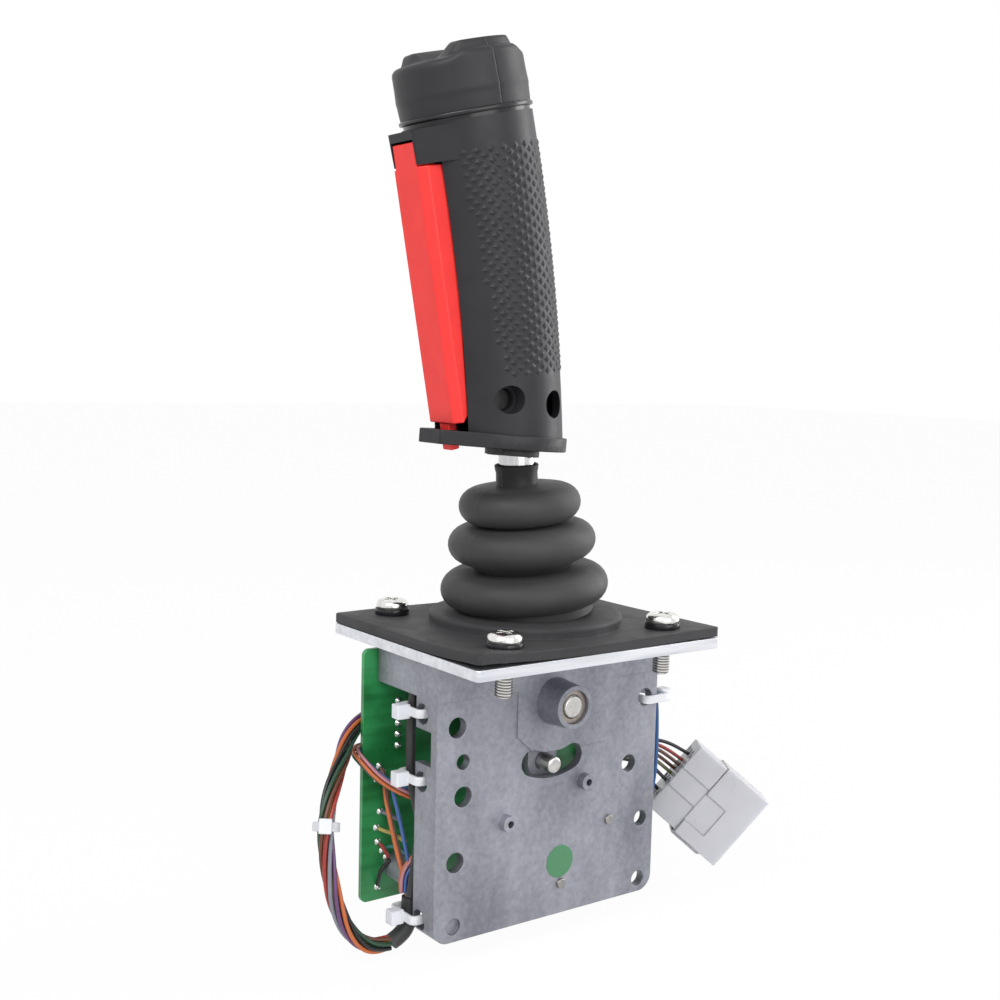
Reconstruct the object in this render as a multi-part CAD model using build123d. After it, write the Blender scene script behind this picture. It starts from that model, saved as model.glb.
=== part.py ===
from build123d import *
import math
import os

# Industrial joystick: a panel plate with a die-cast frame under it, a sprung handle on a cross axle,
# a bellows boot, and a pistol grip with a trigger and a capped thumb rocker.
# Frame: X along the wide front wall of the casting, which faces -Y. Z up. Origin at the centre of the
# plate's underside. All lengths in millimetres, all angles in degrees.

# Fits
running_gap = 0.05
close_gap = 0.02
soft_gap = 0.3

# Mounting plate and its screws
plate_length = 88.9
plate_width = 76.2
plate_thick = 3.2
plate_corner = 0.8
screw_pitch = 58.4
screw_diameter = 4.8
screw_head_diameter = 10.0
screw_head_height = 2.8
screw_reach = 7.8
thread_diameter = 4.4
washer_diameter = 10.4
washer_thick = 1.9

# Boot
flange_thick = 2.8
foot_diameter = 58.4
foot_height = 3.5
boot_wall = 1.5
foot_room = 0.6
slot_room = 2.0
ring_height = 11.0
ring_diameters = (50.6, 44.4, 36.6)
waist_diameters = (39.4, 26.8, 21.0)
ring_levels = (17.3, 30.8, 42.2)
neck_diameter = 12.6
neck_top = 54.0
boot_drift = 0.1

# Casting
frame_length = 82.6
frame_front = 15.0
frame_drop = 81.5
wall_thick = 3.0
side_depth = 10.8
side_thick = 2.5
frame_corner = 5.0
block_rear = 18.0
block_drop = 11.0
pocket_length = 52.0
pocket_rear = 12.2
pad_rise = 0.5
bottom_rib_end = 30.0
tie_hole_diameter = 6.0

# Pivot
pivot_drop = 15.3
axle_diameter = 7.0
bush_diameter = 10.0
boss_diameter = 12.7
boss_base_diameter = 14.2
boss_reach = 10.0
bush_recess = 1.2
lug_thick = 3.0
lug_width = 22.0
pin_radius_of_swing = 19.4
guide_pin_diameter = 5.0
slot_width = 8.0
slot_half_angle = 22.4
pin_proud = 1.6
post_radius_of_swing = 12.6
post_diameter = 4.4

# Handle
swing = 22.0
shaft_lean = 4.0
shaft_diameter = 10.6
hub_diameter = 18.0
socket_diameter = 16.0
socket_height = 11.0
arm_width = 11.0
arm_thick = 5.0

# Grip
grip_foot_x = -11.5
grip_foot_z = 61.4
foot_tilt = 3.9
lean_at_foot = 3.8
lean_at_head = 14.0
grip_height = 93.0
grip_radius = 18.7
grip_wall = 2.6
brow_proud = 0.2
brow_margin = 1.0
brow_corner = 1.5
brow_inset = 0.15
brow_top_gap = 0.5
guard_thick = 4.1
guard_lift = 1.6
guard_margin = 1.3
guard_nose_x = -35.9
guard_nose_half = 5.5
guard_corner = 1.5
brow_depth = 14.0
head_gap = 2.0
access_hole_diameter = 8.0
access_places = ((-20.1, 73.4), (-4.6, 72.2))

# Trigger
trigger_tilt = 10.96
trigger_foot = (-31.9, 66.1)
trigger_drop = 22.0
trigger_tab = 6.6
trigger_half = 8.0
trigger_face_half = 5.9
trigger_tab_half = 5.2
trigger_wall = 2.2
trigger_depth_top = 10.0
trigger_depth_foot = 4.2
trigger_swing = 3.0
trigger_pin_diameter = 3.0
trigger_pin_inset = 0.4

# Thumb rocker and its cap
cap_radius = 18.6
carrier_inset = 1.3
paddle_lobe = (13.0, 6.0, 11.2)
cap_height = 15.0
lobe_height = 18.6
lobe_length = 19.0
lobe_inset = 2.2
cap_wall = 2.0
rim_level = 0.4
bead_height = 1.4
bead_proud = 0.5
rocker_swing = 9.0
rocker_pin_diameter = 3.0
rocker_pin_height = 6.0
plunger_offset = 8.0

# Control board
board_length = 91.0
board_top = 1.5
board_drop = 79.0
board_thick = 1.6
board_corner = 2.0
board_screw_diameter = 2.9
board_head_diameter = 5.4
board_head_height = 1.9
board_screw_reach = 6.0

# Connector
connector_length = 29.0
connector_width = 27.6
connector_depth = 17.0
connector_wall = 1.6
connector_tail = 11.5
connector_step = (0.6, 1.2)
mouth_depth = 9.0
window_length = 8.5
window_sides = (-8.5, 2.4)
window_depth = 0.5
rib_width = 7.4
rib_shift = 4.0
terminal_bore = 3.0
column_pitch = 5.8
row_pitch = 4.4
connector_origin = (64.6, 0.8, -51.6)
connector_axis = (0.563, -0.532, -0.633)
connector_side = (0.549, -0.332, 0.767)

# Casting holes, posts and bosses: x, z and diameter
standoff_places = ((-34.0, -69.0), (34.0, -69.0))
through_holes = (
    (-34.4, -18.8, 6.0), (-32.2, -29.0, 4.5), (-32.0, -39.2, 6.0), (-34.3, -58.1, 6.0),
    (30.4, -39.2, 5.5), (36.1, -57.8, 5.0), (35.8, -77.3, 5.0), (36.4, -19.0, 5.6),
)
blind_holes = ((-34.5, -77.0, 5.0),)
small_bosses = ((-16.9, -49.3), (12.2, -41.6))
wall_screw_places = ((22.8, -55.7), (4.5, -72.2))

# Cable ties
tie_levels = (-15.6, -35.2, -76.0)
tie_y = -7.4
tie_thick = 1.1
tie_width = 2.6
tie_head = (3.8, 3.6, 4.2)

# Centring spring and angle sensor
spring_wire = 1.8
spring_turns = 2
axle_end = 0.2
magnet_thick = 0.9
sensor_thick = 1.2

# Shaft head and hub
shaft_top = 96.0
stub_depth = 3.0
stub_half = 2.2
hub_stem_diameter = 14.6
hub_core_height = 17.0
hub_rim = 2.2
hub_rim_radius = 8.1
hub_half = 7.0

# Trigger switch, plunger and spring
switch_x = (-32.0, -23.6)
switch_z = (117.0, 131.0)
switch_half = 3.2
switch_gap = 7.6
spring_level = 44.0
spring_length = 11.0
plunger_level = 58.5
plunger_room = 0.4
plunger_diameter = 2.4

# Cords: bundle diameters and routes
sleeve_diameter = 2.8
sleeve_route = [
    (-39.0, 0.6, -8.0), (-39.3, 0.6, -12.6), (-39.9, 0.7, -19.0), (-40.0, 0.6, -27.5), (-39.8, 0.5, -36.0),
    (-38.6, -0.6, -43.5), (-37.4, -1.8, -50.5), (-38.6, -1.6, -59.0), (-40.2, -1.2, -71.4),
]
sleeve_end_diameter = 5.2
sleeve_end_route = [
    (-39.3, 0.5, -72.0), (-39.4, 0.4, -75.7), (-39.9, 0.2, -79.4), (-42.0, 0.0, -82.6), (-45.6, -0.2, -83.9),
]
loop_diameter = 5.2
loop_route = [
    (-46.9, -0.2, -84.1), (-50.6, -0.3, -84.2), (-55.4, -0.1, -82.6), (-60.2, 0.4, -77.6), (-63.7, 1.0, -69.6),
    (-65.7, 1.7, -60.6), (-66.3, 2.9, -51.5), (-64.4, 5.4, -43.3), (-60.2, 9.4, -37.1), (-54.7, 14.4, -31.9),
    (-49.7, 19.6, -27.6), (-43.9, 23.4, -24.4), (-37.8, 23.5, -22.8), (-31.6, 23.4, -22.6),
]
branch_diameter = 3.2
branch_route = [
    (-31.4, 22.4, -34.0), (-37.4, 22.6, -33.4), (-43.4, 22.4, -32.2), (-47.6, 19.6, -32.2), (-47.4, 15.4, -34.0),
    (-44.2, 11.0, -38.6), (-39.6, 7.2, -42.0), (-34.2, 3.8, -44.2), (-30.6, 1.8, -48.6), (-30.4, 1.4, -54.6),
    (-33.6, 2.2, -60.0), (-38.4, 2.8, -63.6), (-40.5, 2.6, -67.2), (-40.2, 2.3, -71.2),
]
blue_diameter = 2.6
blue_route = [
    (36.4, 17.6, -17.0), (36.8, 14.2, -17.2), (40.8, 11.4, -15.4), (44.6, 6.8, -12.0), (44.8, 0.6, -10.4),
    (44.0, -5.6, -11.6), (43.2, -10.6, -15.6), (43.1, -12.7, -21.8), (43.2, -12.9, -32.6), (43.1, -12.8, -43.4),
    (43.4, -11.2, -52.6), (43.8, -6.0, -58.6), (42.6, 1.2, -61.4), (37.6, 7.4, -58.8), (33.4, 12.8, -54.6),
    (33.0, 17.5, -53.6),
]
pigtail_diameter = 5.0
pigtail_route = [
    (38.0, 17.4, -45.4), (38.6, 13.0, -45.2), (42.6, 10.0, -44.4), (48.4, 8.4, -43.6), (54.0, 6.6, -43.6),
    (59.6, 5.2, -46.0), (64.2, 1.2, -51.1),
]

os.makedirs("parts", exist_ok=True)

# Values worked out from the sizes above
gasket_top = plate_thick + flange_thick
foot_top = gasket_top + foot_height
half_frame = frame_length / 2
pivot_z = -pivot_drop
wall_back = -frame_front + wall_thick
boss_tip = -frame_front - boss_reach
pin_z = pivot_z - pin_radius_of_swing
shaft_radius = shaft_diameter / 2
axle_radius = axle_diameter / 2
board_front = block_rear
board_back = block_rear + board_thick
trigger_body = grip_height - trigger_drop
trigger_length = trigger_body + trigger_tab
screw_places = [(x * screw_pitch / 2, y * screw_pitch / 2) for x in (-1, 1) for y in (-1, 1)]
grip_bend_radius = grip_height / math.radians(lean_at_head - lean_at_foot)


def sind(angle):
    return math.sin(math.radians(angle))


def cosd(angle):
    return math.cos(math.radians(angle))


def tand(angle):
    return math.tan(math.radians(angle))


def block(x, y, z):
    """A box from its lowest to its highest corner on each axis."""
    centre = Pos((x[0] + x[1]) / 2, (y[0] + y[1]) / 2, (z[0] + z[1]) / 2)
    return centre * Box(x[1] - x[0], y[1] - y[0], z[1] - z[0])


def rod_y(x, z, y, diameter):
    """A round rod along Y."""
    return Pos(x, (y[0] + y[1]) / 2, z) * Rot(90, 0, 0) * Cylinder(diameter / 2, y[1] - y[0])


def rod_x(y, z, x, diameter):
    """A round rod along X."""
    return Pos((x[0] + x[1]) / 2, y, z) * Rot(0, 90, 0) * Cylinder(diameter / 2, x[1] - x[0])


def rod_z(x, y, z, diameter):
    """A round rod along Z."""
    return Pos(x, y, (z[0] + z[1]) / 2) * Cylinder(diameter / 2, z[1] - z[0])


def outline_y(points, y):
    """A prism along Y from an outline drawn in X and Z."""
    face = make_face(Polyline([(x, 0, z) for x, z in points], close=True))
    prism = extrude(face, amount=y[1] - y[0], dir=(0, 1, 0))
    return Pos(0, y[0], 0) * prism


def tube_along(route, diameter):
    """A tube along straight runs joined by arcs as large as the runs allow."""
    points = [Vector(*p) for p in route]
    radii = []
    for before, here, after in zip(points, points[1:], points[2:]):
        turn = (here - before).get_angle(after - here)
        shorter = min((here - before).length, (after - here).length)
        radii.append(0.45 * shorter / tand(turn / 2))
    path = FilletPolyline(*points, radius=radii)
    start = Plane(origin=path @ 0, z_dir=path % 0)
    tube = sweep(start * Circle(diameter / 2), path=path)
    print("cord radii", [round(r, 1) for r in radii], "length", round(path.length, 1),
          "volume share", round(tube.volume / (math.pi * diameter ** 2 / 4 * path.length), 4))
    return tube


# Frames of the leaning shaft, the bent grip, the trigger and the cap


def shaft_plane(height):
    """The plane across the shaft at a distance above the pivot."""
    along = (-sind(shaft_lean), 0, cosd(shaft_lean))
    origin = (along[0] * height, 0, pivot_z + along[2] * height)
    return Plane(origin=origin, x_dir=(along[2], 0, -along[0]), z_dir=along)


def grip_plane(distance):
    """The plane across the grip at a distance along its bent axis."""
    lean = lean_at_foot + math.degrees(distance / grip_bend_radius)
    x = grip_foot_x + grip_bend_radius * (cosd(lean) - cosd(lean_at_foot))
    z = grip_foot_z + grip_bend_radius * (sind(lean) - sind(lean_at_foot))
    return Plane(origin=(x, 0, z), x_dir=(cosd(lean), 0, sind(lean)), z_dir=(-sind(lean), 0, cosd(lean)))


def bent_rod(radius, start, end):
    """A round bar that follows the grip's bent axis."""
    first = grip_plane(start)
    lean = lean_at_foot + math.degrees(start / grip_bend_radius)
    centre_x = first.origin.X - grip_bend_radius * cosd(lean)
    centre_z = first.origin.Z - grip_bend_radius * sind(lean)
    turn = math.degrees((end - start) / grip_bend_radius)
    axis = Axis((centre_x, 0, centre_z), (0, -1, 0))
    return revolve(first * Circle(radius), axis, revolution_arc=turn)


spring_pitch = spring_wire + 0.1
spring_y = pocket_rear - 0.5 - spring_wire - (spring_turns - 1) * spring_pitch
yoke_front = wall_back + 1.6
arm_back = yoke_front + arm_thick
shaft_bottom = axle_radius + 1.0 + close_gap
spring_seat_x = trigger_foot[0] + (trigger_wall + spring_length + 0.6) * cosd(trigger_tilt) - spring_level * sind(trigger_tilt)
spring_seat_z = trigger_foot[1] + (trigger_wall + spring_length) * sind(trigger_tilt) + spring_level * cosd(trigger_tilt)
cap_plane = grip_plane(grip_height)
trigger_plane = Plane(
    origin=(trigger_foot[0], 0, trigger_foot[1]),
    x_dir=(cosd(trigger_tilt), 0, sind(trigger_tilt)),
    z_dir=(-sind(trigger_tilt), 0, cosd(trigger_tilt)),
)
guard_plane = Plane(
    origin=(grip_foot_x, 0, grip_foot_z + guard_lift),
    x_dir=(cosd(foot_tilt), 0, -sind(foot_tilt)),
    z_dir=(sind(foot_tilt), 0, cosd(foot_tilt)),
)
connector_plane = Plane(
    origin=connector_origin,
    x_dir=connector_axis,
    z_dir=Vector(*connector_axis).cross(Vector(*connector_side)),
)
trigger_pin_spot = (4.2, trigger_body + 2.6)


# Panel plate, boot and screws


def make_mounting_plate():
    plate = block((-plate_length / 2, plate_length / 2), (-plate_width / 2, plate_width / 2), (0, plate_thick))
    plate = chamfer(plate.edges().filter_by(Axis.Z), plate_corner)
    for x, y in screw_places:
        plate -= rod_z(x, y, (-1, plate_thick + 1), screw_diameter + 2 * close_gap)
    return plate - shaft_slot(plate_thick)


def swing_reach(level):
    """How far out the shaft's side comes at a level when the handle is at its limit."""
    lean = swing + shaft_lean
    return (level + pivot_drop) * tand(lean) + shaft_radius / cosd(lean)


def shaft_slot(top):
    """The long hole that the swinging shaft passes, open from the block's pocket upwards."""
    reach = swing_reach(top) + slot_room
    width = shaft_diameter + 8
    slot = extrude(SlotOverall(2 * reach + width / 2, width), top + 2)
    return Pos(0, 0, -1) * slot


def make_boot_flange():
    sheet = block((-plate_length / 2, plate_length / 2), (-plate_width / 2, plate_width / 2),
                  (plate_thick, gasket_top))
    sheet = fillet(sheet.edges().filter_by(Axis.Z), 1.5)
    foot = Pos(0, 0, gasket_top) * extrude(Circle(foot_diameter / 2), foot_height)
    foot = fillet(foot.edges().group_by(Axis.Z)[-1], 1.6)
    body = sheet + foot
    body -= rod_z(0, 0, (0, foot_top + 1), 2 * (swing_reach(foot_top) + foot_room))
    for x, y in screw_places:
        body -= rod_z(x, y, (0, foot_top + 1), screw_diameter + 2 * soft_gap)
        body -= rod_z(x, y, (gasket_top, foot_top + 1), washer_diameter + 2 * soft_gap)
    return body


def bellows_outline(shrink):
    """Half outline of the rings and their waists, drawn in radius and height."""
    levels = (foot_top - ring_height / 2, *ring_levels)
    outline = None
    for waist, low, high in zip(waist_diameters, levels, levels[1:]):
        reach = waist / 2 - shrink
        piece = Pos(reach / 2, (low + high) / 2) * Rectangle(reach, high - low)
        outline = piece if outline is None else outline + piece
    for diameter, level in zip(ring_diameters, ring_levels):
        reach = (diameter - ring_height) / 2
        outline += Pos(reach / 2, level) * Rectangle(reach, ring_height - 2 * shrink)
        outline += Pos(reach, level) * Circle(ring_height / 2 - shrink)
    return outline & Pos(50, 0) * Rectangle(100, 200)


def make_bellows():
    """Three hollow rings that lean with the shaft, and a neck that fits round it."""
    shell = revolve(Plane.XZ * bellows_outline(0), Axis.Z) - revolve(Plane.XZ * bellows_outline(boot_wall), Axis.Z)
    lean = math.degrees(math.atan(boot_drift))
    shell = Pos(0, 0, foot_top) * Rot(0, -lean, 0) * Pos(0, 0, -foot_top) * shell
    shell &= block((-60, 60), (-60, 60), (foot_top, neck_top + 5))
    start = (ring_levels[-1] + ring_height / 2 - boot_wall - pivot_z) / cosd(shaft_lean)
    end = (neck_top - pivot_z) / cosd(shaft_lean)
    shell += shaft_plane(0) * Pos(0, 0, (start + end) / 2) * Cylinder(neck_diameter / 2, end - start)
    return shell - shaft_plane(0) * Pos(0, 0, end / 2) * Cylinder(shaft_radius + soft_gap, end + 2)


def make_plate_screws():
    seat = gasket_top + washer_thick
    screws = []
    for x, y in screw_places:
        head = Pos(0, 0, seat) * extrude(Circle(screw_head_diameter / 2), screw_head_height)
        head = fillet(head.edges().group_by(Axis.Z)[-1], screw_head_height * 0.7)
        cross = Box(5.2, 1.1, 2.4) + Box(1.1, 5.2, 2.4)
        head -= Pos(0, 0, seat + screw_head_height) * cross
        thread = rod_z(0, 0, (-screw_reach, 0), thread_diameter)
        thread = chamfer(thread.edges().group_by(Axis.Z)[0], 0.5)
        screws.append(Pos(x, y, 0) * (head + rod_z(0, 0, (0, seat), screw_diameter) + thread))
    return Compound(children=screws)


def make_screw_washers():
    washers = []
    for x, y in screw_places:
        ring = rod_z(x, y, (gasket_top, gasket_top + washer_thick), washer_diameter)
        washers.append(ring - rod_z(x, y, (0, gasket_top + 5), screw_diameter + 2 * close_gap))
    return Compound(children=washers)


# Casting and what is fixed to it


def front_wall():
    wall = block((-half_frame, half_frame), (-frame_front, wall_back), (-frame_drop, 0))
    wall = fillet(wall.edges().filter_by(Axis.Y).group_by(Axis.Z)[0], frame_corner)
    raised = [(-13.5, 0), (-13.5, -24.5), (-8.5, -29.0), (-8.5, -30.5), (20.0, -30.5), (20.0, -24.5),
              (24.0, -20.5), (24.0, 0)]
    band = block((-half_frame, half_frame), (-frame_front - pad_rise, -frame_front), (-block_drop, 0))
    return wall + outline_y(raised, (-frame_front - pad_rise, -frame_front)) + band


def side_flanges():
    """The rib behind the left and bottom edges of the front wall."""
    rear = -frame_front + side_depth
    sides = block((-half_frame, half_frame), (wall_back - 1, rear), (-frame_drop, 0))
    sides = fillet(sides.edges().filter_by(Axis.Y).group_by(Axis.Z)[0], frame_corner)
    inner = block((-half_frame + side_thick, half_frame + 1), (wall_back, rear + 1), (-frame_drop + side_thick, 1))
    sides -= fillet(inner.edges().filter_by(Axis.Y).group_by(Axis.Z)[0].sort_by(Axis.X)[0], frame_corner - side_thick)
    sides -= block((bottom_rib_end, half_frame + 1), (wall_back, rear + 1), (-frame_drop - 1, 1))
    notch = block((-half_frame - 1, -half_frame + side_thick + 1), (wall_back, rear + 1), (-30.0, -20.0))
    return sides - notch


def top_block():
    solid = block((-half_frame, half_frame), (-frame_front, block_rear), (-block_drop, 0))
    solid = chamfer(solid.edges().filter_by(Axis.Z).group_by(Axis.Y)[-1], 1.2)
    pocket = block((-pocket_length / 2, pocket_length / 2), (wall_back, pocket_rear), (-block_drop - 1, 1))
    return solid - fillet(pocket.edges().filter_by(Axis.Z), 3.0)


def arc_slot(width, half_angle, y):
    """A slot bent round the pivot, through which the guide pin stands."""
    centre = Vector(0, pivot_z)
    inner = pin_radius_of_swing - width / 2
    outer = pin_radius_of_swing + width / 2
    start, sweep_angle = -90 - half_angle, 2 * half_angle
    ring = Circle(outer) - Circle(inner)
    reach = 2 * outer
    wedge = make_face(Polyline(
        (0, 0), (reach * cosd(start), reach * sind(start)), (0, -1.5 * reach),
        (reach * cosd(start + sweep_angle), reach * sind(start + sweep_angle)), close=True))
    sketch = ring & wedge
    for side in (-1, 1):
        end = -90 + side * half_angle
        sketch += Pos(pin_radius_of_swing * cosd(end), pin_radius_of_swing * sind(end)) * Circle(width / 2)
    prism = extrude(Plane.XZ * Pos(centre.X, centre.Y) * sketch, y[1] - y[0], dir=(0, 1, 0))
    return Pos(0, y[0], 0) * prism


def pivot_boss():
    tip = Plane(origin=(0, boss_tip, pivot_z), z_dir=(0, 1, 0)) * Circle(boss_diameter / 2)
    base = Plane(origin=(0, -frame_front + 0.5, pivot_z), z_dir=(0, 1, 0)) * Circle(boss_base_diameter / 2)
    return loft([tip, base])


def rear_lug():
    """The web behind the yoke that carries the rear bush and the spring post."""
    low = pivot_z - post_radius_of_swing - post_diameter
    points = [(-lug_width / 2, -block_drop + 1), (lug_width / 2, -block_drop + 1), (lug_width / 2, pivot_z - 4),
              (post_diameter, low), (-post_diameter, low), (-lug_width / 2, pivot_z - 4)]
    return outline_y(points, (pocket_rear, pocket_rear + lug_thick))


def make_base_casting():
    body = front_wall() + side_flanges() + top_block() + pivot_boss() + rear_lug()
    for x, z in standoff_places:
        body += rod_y(x, z, (wall_back - 1, board_front), 8.0)
        body -= rod_y(x, z, (board_front - 10, board_front + 1), board_screw_diameter + 2 * close_gap)
    for x, z in small_bosses:
        body += rod_y(x, z, (-frame_front - 3.0, -frame_front + 0.5), 5.0)
        body -= rod_y(x, z, (-frame_front - 4.0, wall_back + 1), 2.2)
    for x, z, diameter in through_holes:
        body -= rod_y(x, z, (-frame_front - 2, wall_back + 1), diameter)
    for x, z, diameter in blind_holes:
        body -= rod_y(x, z, (-frame_front - 1, -frame_front + 1.2), diameter)
    for x, z in wall_screw_places:
        body -= rod_y(x, z, (-frame_front - 1, wall_back + 1), 3.0 + 2 * close_gap)
    for z in tie_levels:
        body -= rod_x(tie_y, z, (-half_frame - 1, -half_frame + side_thick + 1), tie_hole_diameter)
    body -= rod_y(0, pivot_z, (boss_tip - 1, wall_back + 1), bush_diameter + 2 * close_gap)
    body -= rod_y(0, pivot_z, (pocket_rear - 1, pocket_rear + lug_thick + 1), bush_diameter + 2 * close_gap)
    body -= rod_y(0, pivot_z - post_radius_of_swing, (pocket_rear - 1, pocket_rear + lug_thick + 1),
                  post_diameter + 2 * close_gap)
    body -= arc_slot(slot_width, slot_half_angle, (-frame_front - 2, wall_back + 1))
    exit_x, exit_y, exit_z = sleeve_route[0]
    body -= rod_z(exit_x, exit_y, (-block_drop - 1, exit_z + 0.5), sleeve_diameter + 2 * soft_gap)
    for x in (-36.0, 36.0):
        body -= rod_y(x, -6.2, (block_rear - 8, block_rear + 1), board_screw_diameter + 2 * close_gap)
    return body


def make_wall_screws():
    screws = []
    for x, z in wall_screw_places:
        shank = rod_y(x, z, (-frame_front - 0.9, wall_back + 0.5), 3.0)
        head = rod_y(x, z, (wall_back, wall_back + 2.2), 5.5)
        screws.append(shank + head)
    return Compound(children=screws)


def make_front_bush():
    ring = rod_y(0, pivot_z, (boss_tip + bush_recess, wall_back), bush_diameter)
    return ring - rod_y(0, pivot_z, (boss_tip, wall_back + 1), axle_diameter + 2 * running_gap)


def make_rear_bush():
    ring = rod_y(0, pivot_z, (pocket_rear, pocket_rear + lug_thick), bush_diameter)
    return ring - rod_y(0, pivot_z, (pocket_rear - 1, pocket_rear + lug_thick + 1), axle_diameter + 2 * running_gap)


def make_spring_post():
    level = pivot_z - post_radius_of_swing
    return rod_y(0, level, (spring_y - 0.5, pocket_rear + lug_thick), post_diameter)


def make_centring_spring():
    """A torsion spring round the yoke's tail, whose two legs hold the post and the guide pin."""
    coil_radius = (hub_diameter - 4) / 2 + spring_wire / 2 + 0.4
    leg_x = max(post_diameter, guide_pin_diameter) / 2 + spring_wire / 2 + 0.15
    wires = None
    for turn in range(spring_turns):
        y = spring_y + spring_wire / 2 + turn * spring_pitch
        ring = Pos(0, y, pivot_z) * Rot(90, 0, 0) * Torus(coil_radius, spring_wire / 2)
        wires = ring if wires is None else wires + ring
        if turn:
            wires += rod_y(0, pivot_z + coil_radius, (y - spring_pitch, y), spring_wire)
    for side, turn in ((-1, 0), (1, spring_turns - 1)):
        y = spring_y + spring_wire / 2 + turn * spring_pitch
        points = [(side * coil_radius, y, pivot_z), (side * coil_radius, y, pivot_z - 4.5),
                  (side * leg_x, y, pivot_z - 11.0), (side * leg_x, y, pin_z - 4.0)]
        path = FilletPolyline(*points, radius=2.4)
        start = Plane(origin=path @ 0, z_dir=path % 0)
        wires += sweep(start * Circle(spring_wire / 2), path=path)
    return wires


# Handle on its axle


def make_pivot_axle():
    axle = rod_y(0, pivot_z, (boss_tip + bush_recess - 0.6, pocket_rear + lug_thick + axle_end), axle_diameter)
    return chamfer(axle.edges().group_by(Axis.Y)[0], 0.5)


def make_yoke():
    hub = rod_y(0, pivot_z, (yoke_front, spring_y - 0.4), hub_diameter)
    tail = rod_y(0, pivot_z, (spring_y - 1, pocket_rear - 0.6), hub_diameter - 4)
    socket = shaft_plane(0) * Pos(0, 0, socket_height / 2) * Cylinder(socket_diameter / 2, socket_height)
    socket &= block((-30, 30), (yoke_front, spring_y - 0.4), (-60, 60))
    arm = block((-arm_width / 2, arm_width / 2), (yoke_front, arm_back), (pin_z, pivot_z))
    arm += rod_y(0, pin_z, (yoke_front, arm_back), arm_width)
    body = hub + tail + socket + arm
    body -= rod_y(0, pivot_z, (yoke_front - 1, pocket_rear + 1), axle_diameter + 2 * close_gap)
    body -= rod_y(0, pin_z, (yoke_front - 1, arm_back + 1), guide_pin_diameter + 2 * close_gap)
    seat = axle_radius + 1.0
    body -= shaft_plane(seat) * Pos(0, 0, 20) * Cylinder(shaft_radius + close_gap, 40)
    return body


def make_yoke_screw():
    """The grub screw that holds the shaft in the yoke's socket."""
    level = axle_radius + 1.0 + 3.2
    plane = shaft_plane(level)
    reach = Plane(origin=plane.origin, x_dir=(0, 1, 0), z_dir=plane.x_dir)
    start = shaft_radius + close_gap
    return reach * Pos(0, 0, start + 1.6) * Cylinder(1.5, 3.2)


def make_yoke_with_screw_hole():
    level = axle_radius + 1.0 + 3.2
    plane = shaft_plane(level)
    reach = Plane(origin=plane.origin, x_dir=(0, 1, 0), z_dir=plane.x_dir)
    return make_yoke() - reach * Pos(0, 0, 8) * Cylinder(1.5 + close_gap, 8)


def make_guide_pin():
    pin = rod_y(0, pin_z, (-frame_front - pin_proud, pocket_rear - soft_gap), guide_pin_diameter)
    return chamfer(pin.edges().group_by(Axis.Y)[0], 0.5)


def make_axle_magnet():
    start = pocket_rear + lug_thick + axle_end
    return rod_y(0, pivot_z, (start, start + magnet_thick), axle_diameter)


def make_handle_shaft():
    length = shaft_top - shaft_bottom
    shaft = Pos(0, 0, shaft_bottom + length / 2) * Cylinder(shaft_radius, length)
    shaft = chamfer(shaft.edges().group_by(Axis.Z)[-1], 0.8)
    return shaft_plane(0) * shaft - clamp_screw_cut()


# Grip


def guard_prism(radius, nose_x, nose_half, bottom, top):
    """The grip's round foot drawn out to a nose in front of the trigger."""
    nose = nose_x - grip_foot_x
    hull = make_hull(Circle(radius).edges() + Polyline((nose, -nose_half), (nose, nose_half)).edges())
    prism = extrude(hull, top - bottom)
    prism = fillet(prism.edges().filter_by(Axis.Z).group_by(Axis.X)[0], guard_corner)
    return guard_plane * Pos(0, 0, bottom) * prism


def make_grip_flange():
    plate = guard_prism(grip_radius + guard_margin, guard_nose_x, guard_nose_half, -guard_thick, 0)
    plate -= shaft_plane(0) * Pos(0, 0, 80) * Cylinder(hub_stem_diameter / 2 + close_gap, 60)
    travel = (trigger_length) * sind(trigger_swing)
    slot = block((trigger_foot[0] - 1.0, trigger_foot[0] + stub_depth + travel + 2.4),
                 (-stub_half - 0.6, stub_half + 0.6), (grip_foot_z - 8, grip_foot_z + 8))
    return plate - slot


def make_grip_hub():
    """The metal core that joins the grip to the shaft, with a rim under the flange."""
    plane = shaft_plane(0)
    foot = (grip_foot_z + guard_lift - guard_thick - pivot_z) / cosd(shaft_lean)
    middle = -grip_foot_x - 6.2
    under = -guard_thick - hub_rim / 2
    rim = guard_plane * Pos(middle, 0, under) * Cylinder(hub_rim_radius, hub_rim)
    lug = guard_plane * Pos(middle - hub_rim_radius - 0.4, -3.0, under) * Box(3.4, 3.4, hub_rim)
    stem = plane * Pos(0, 0, foot + 4) * Cylinder(hub_stem_diameter / 2, 10)
    stem &= guard_plane * Pos(0, 0, 0) * Box(80, 80, 2 * guard_thick + 0.01)
    core = guard_plane * Pos(-grip_foot_x - 6.4, 0, hub_core_height / 2) * Box(14.0, 2 * hub_half, hub_core_height)
    body = rim + lug + stem + core
    body -= plane * Pos(0, 0, shaft_top / 2) * Cylinder(shaft_radius + close_gap, shaft_top + 0.1)
    return body - clamp_screw_cut()


def access_screw(place, head, tip):
    x, z = place
    return rod_y(x, z, (head, head + 2.0), 6.0) + rod_y(x, z, (head + 1, tip), 2.8)


def clamp_screw_cut():
    x, z = access_places[1]
    return rod_y(x, z, (-hub_half - 1, 1.5), 2.8 + 2 * close_gap)


def make_grip_screws():
    far_place, near_place = access_places
    through = access_screw(far_place, -12.0, 10.0)
    clamp = access_screw(near_place, -hub_half - 2.0, 1.4)
    return Compound(children=[through, clamp])


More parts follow.
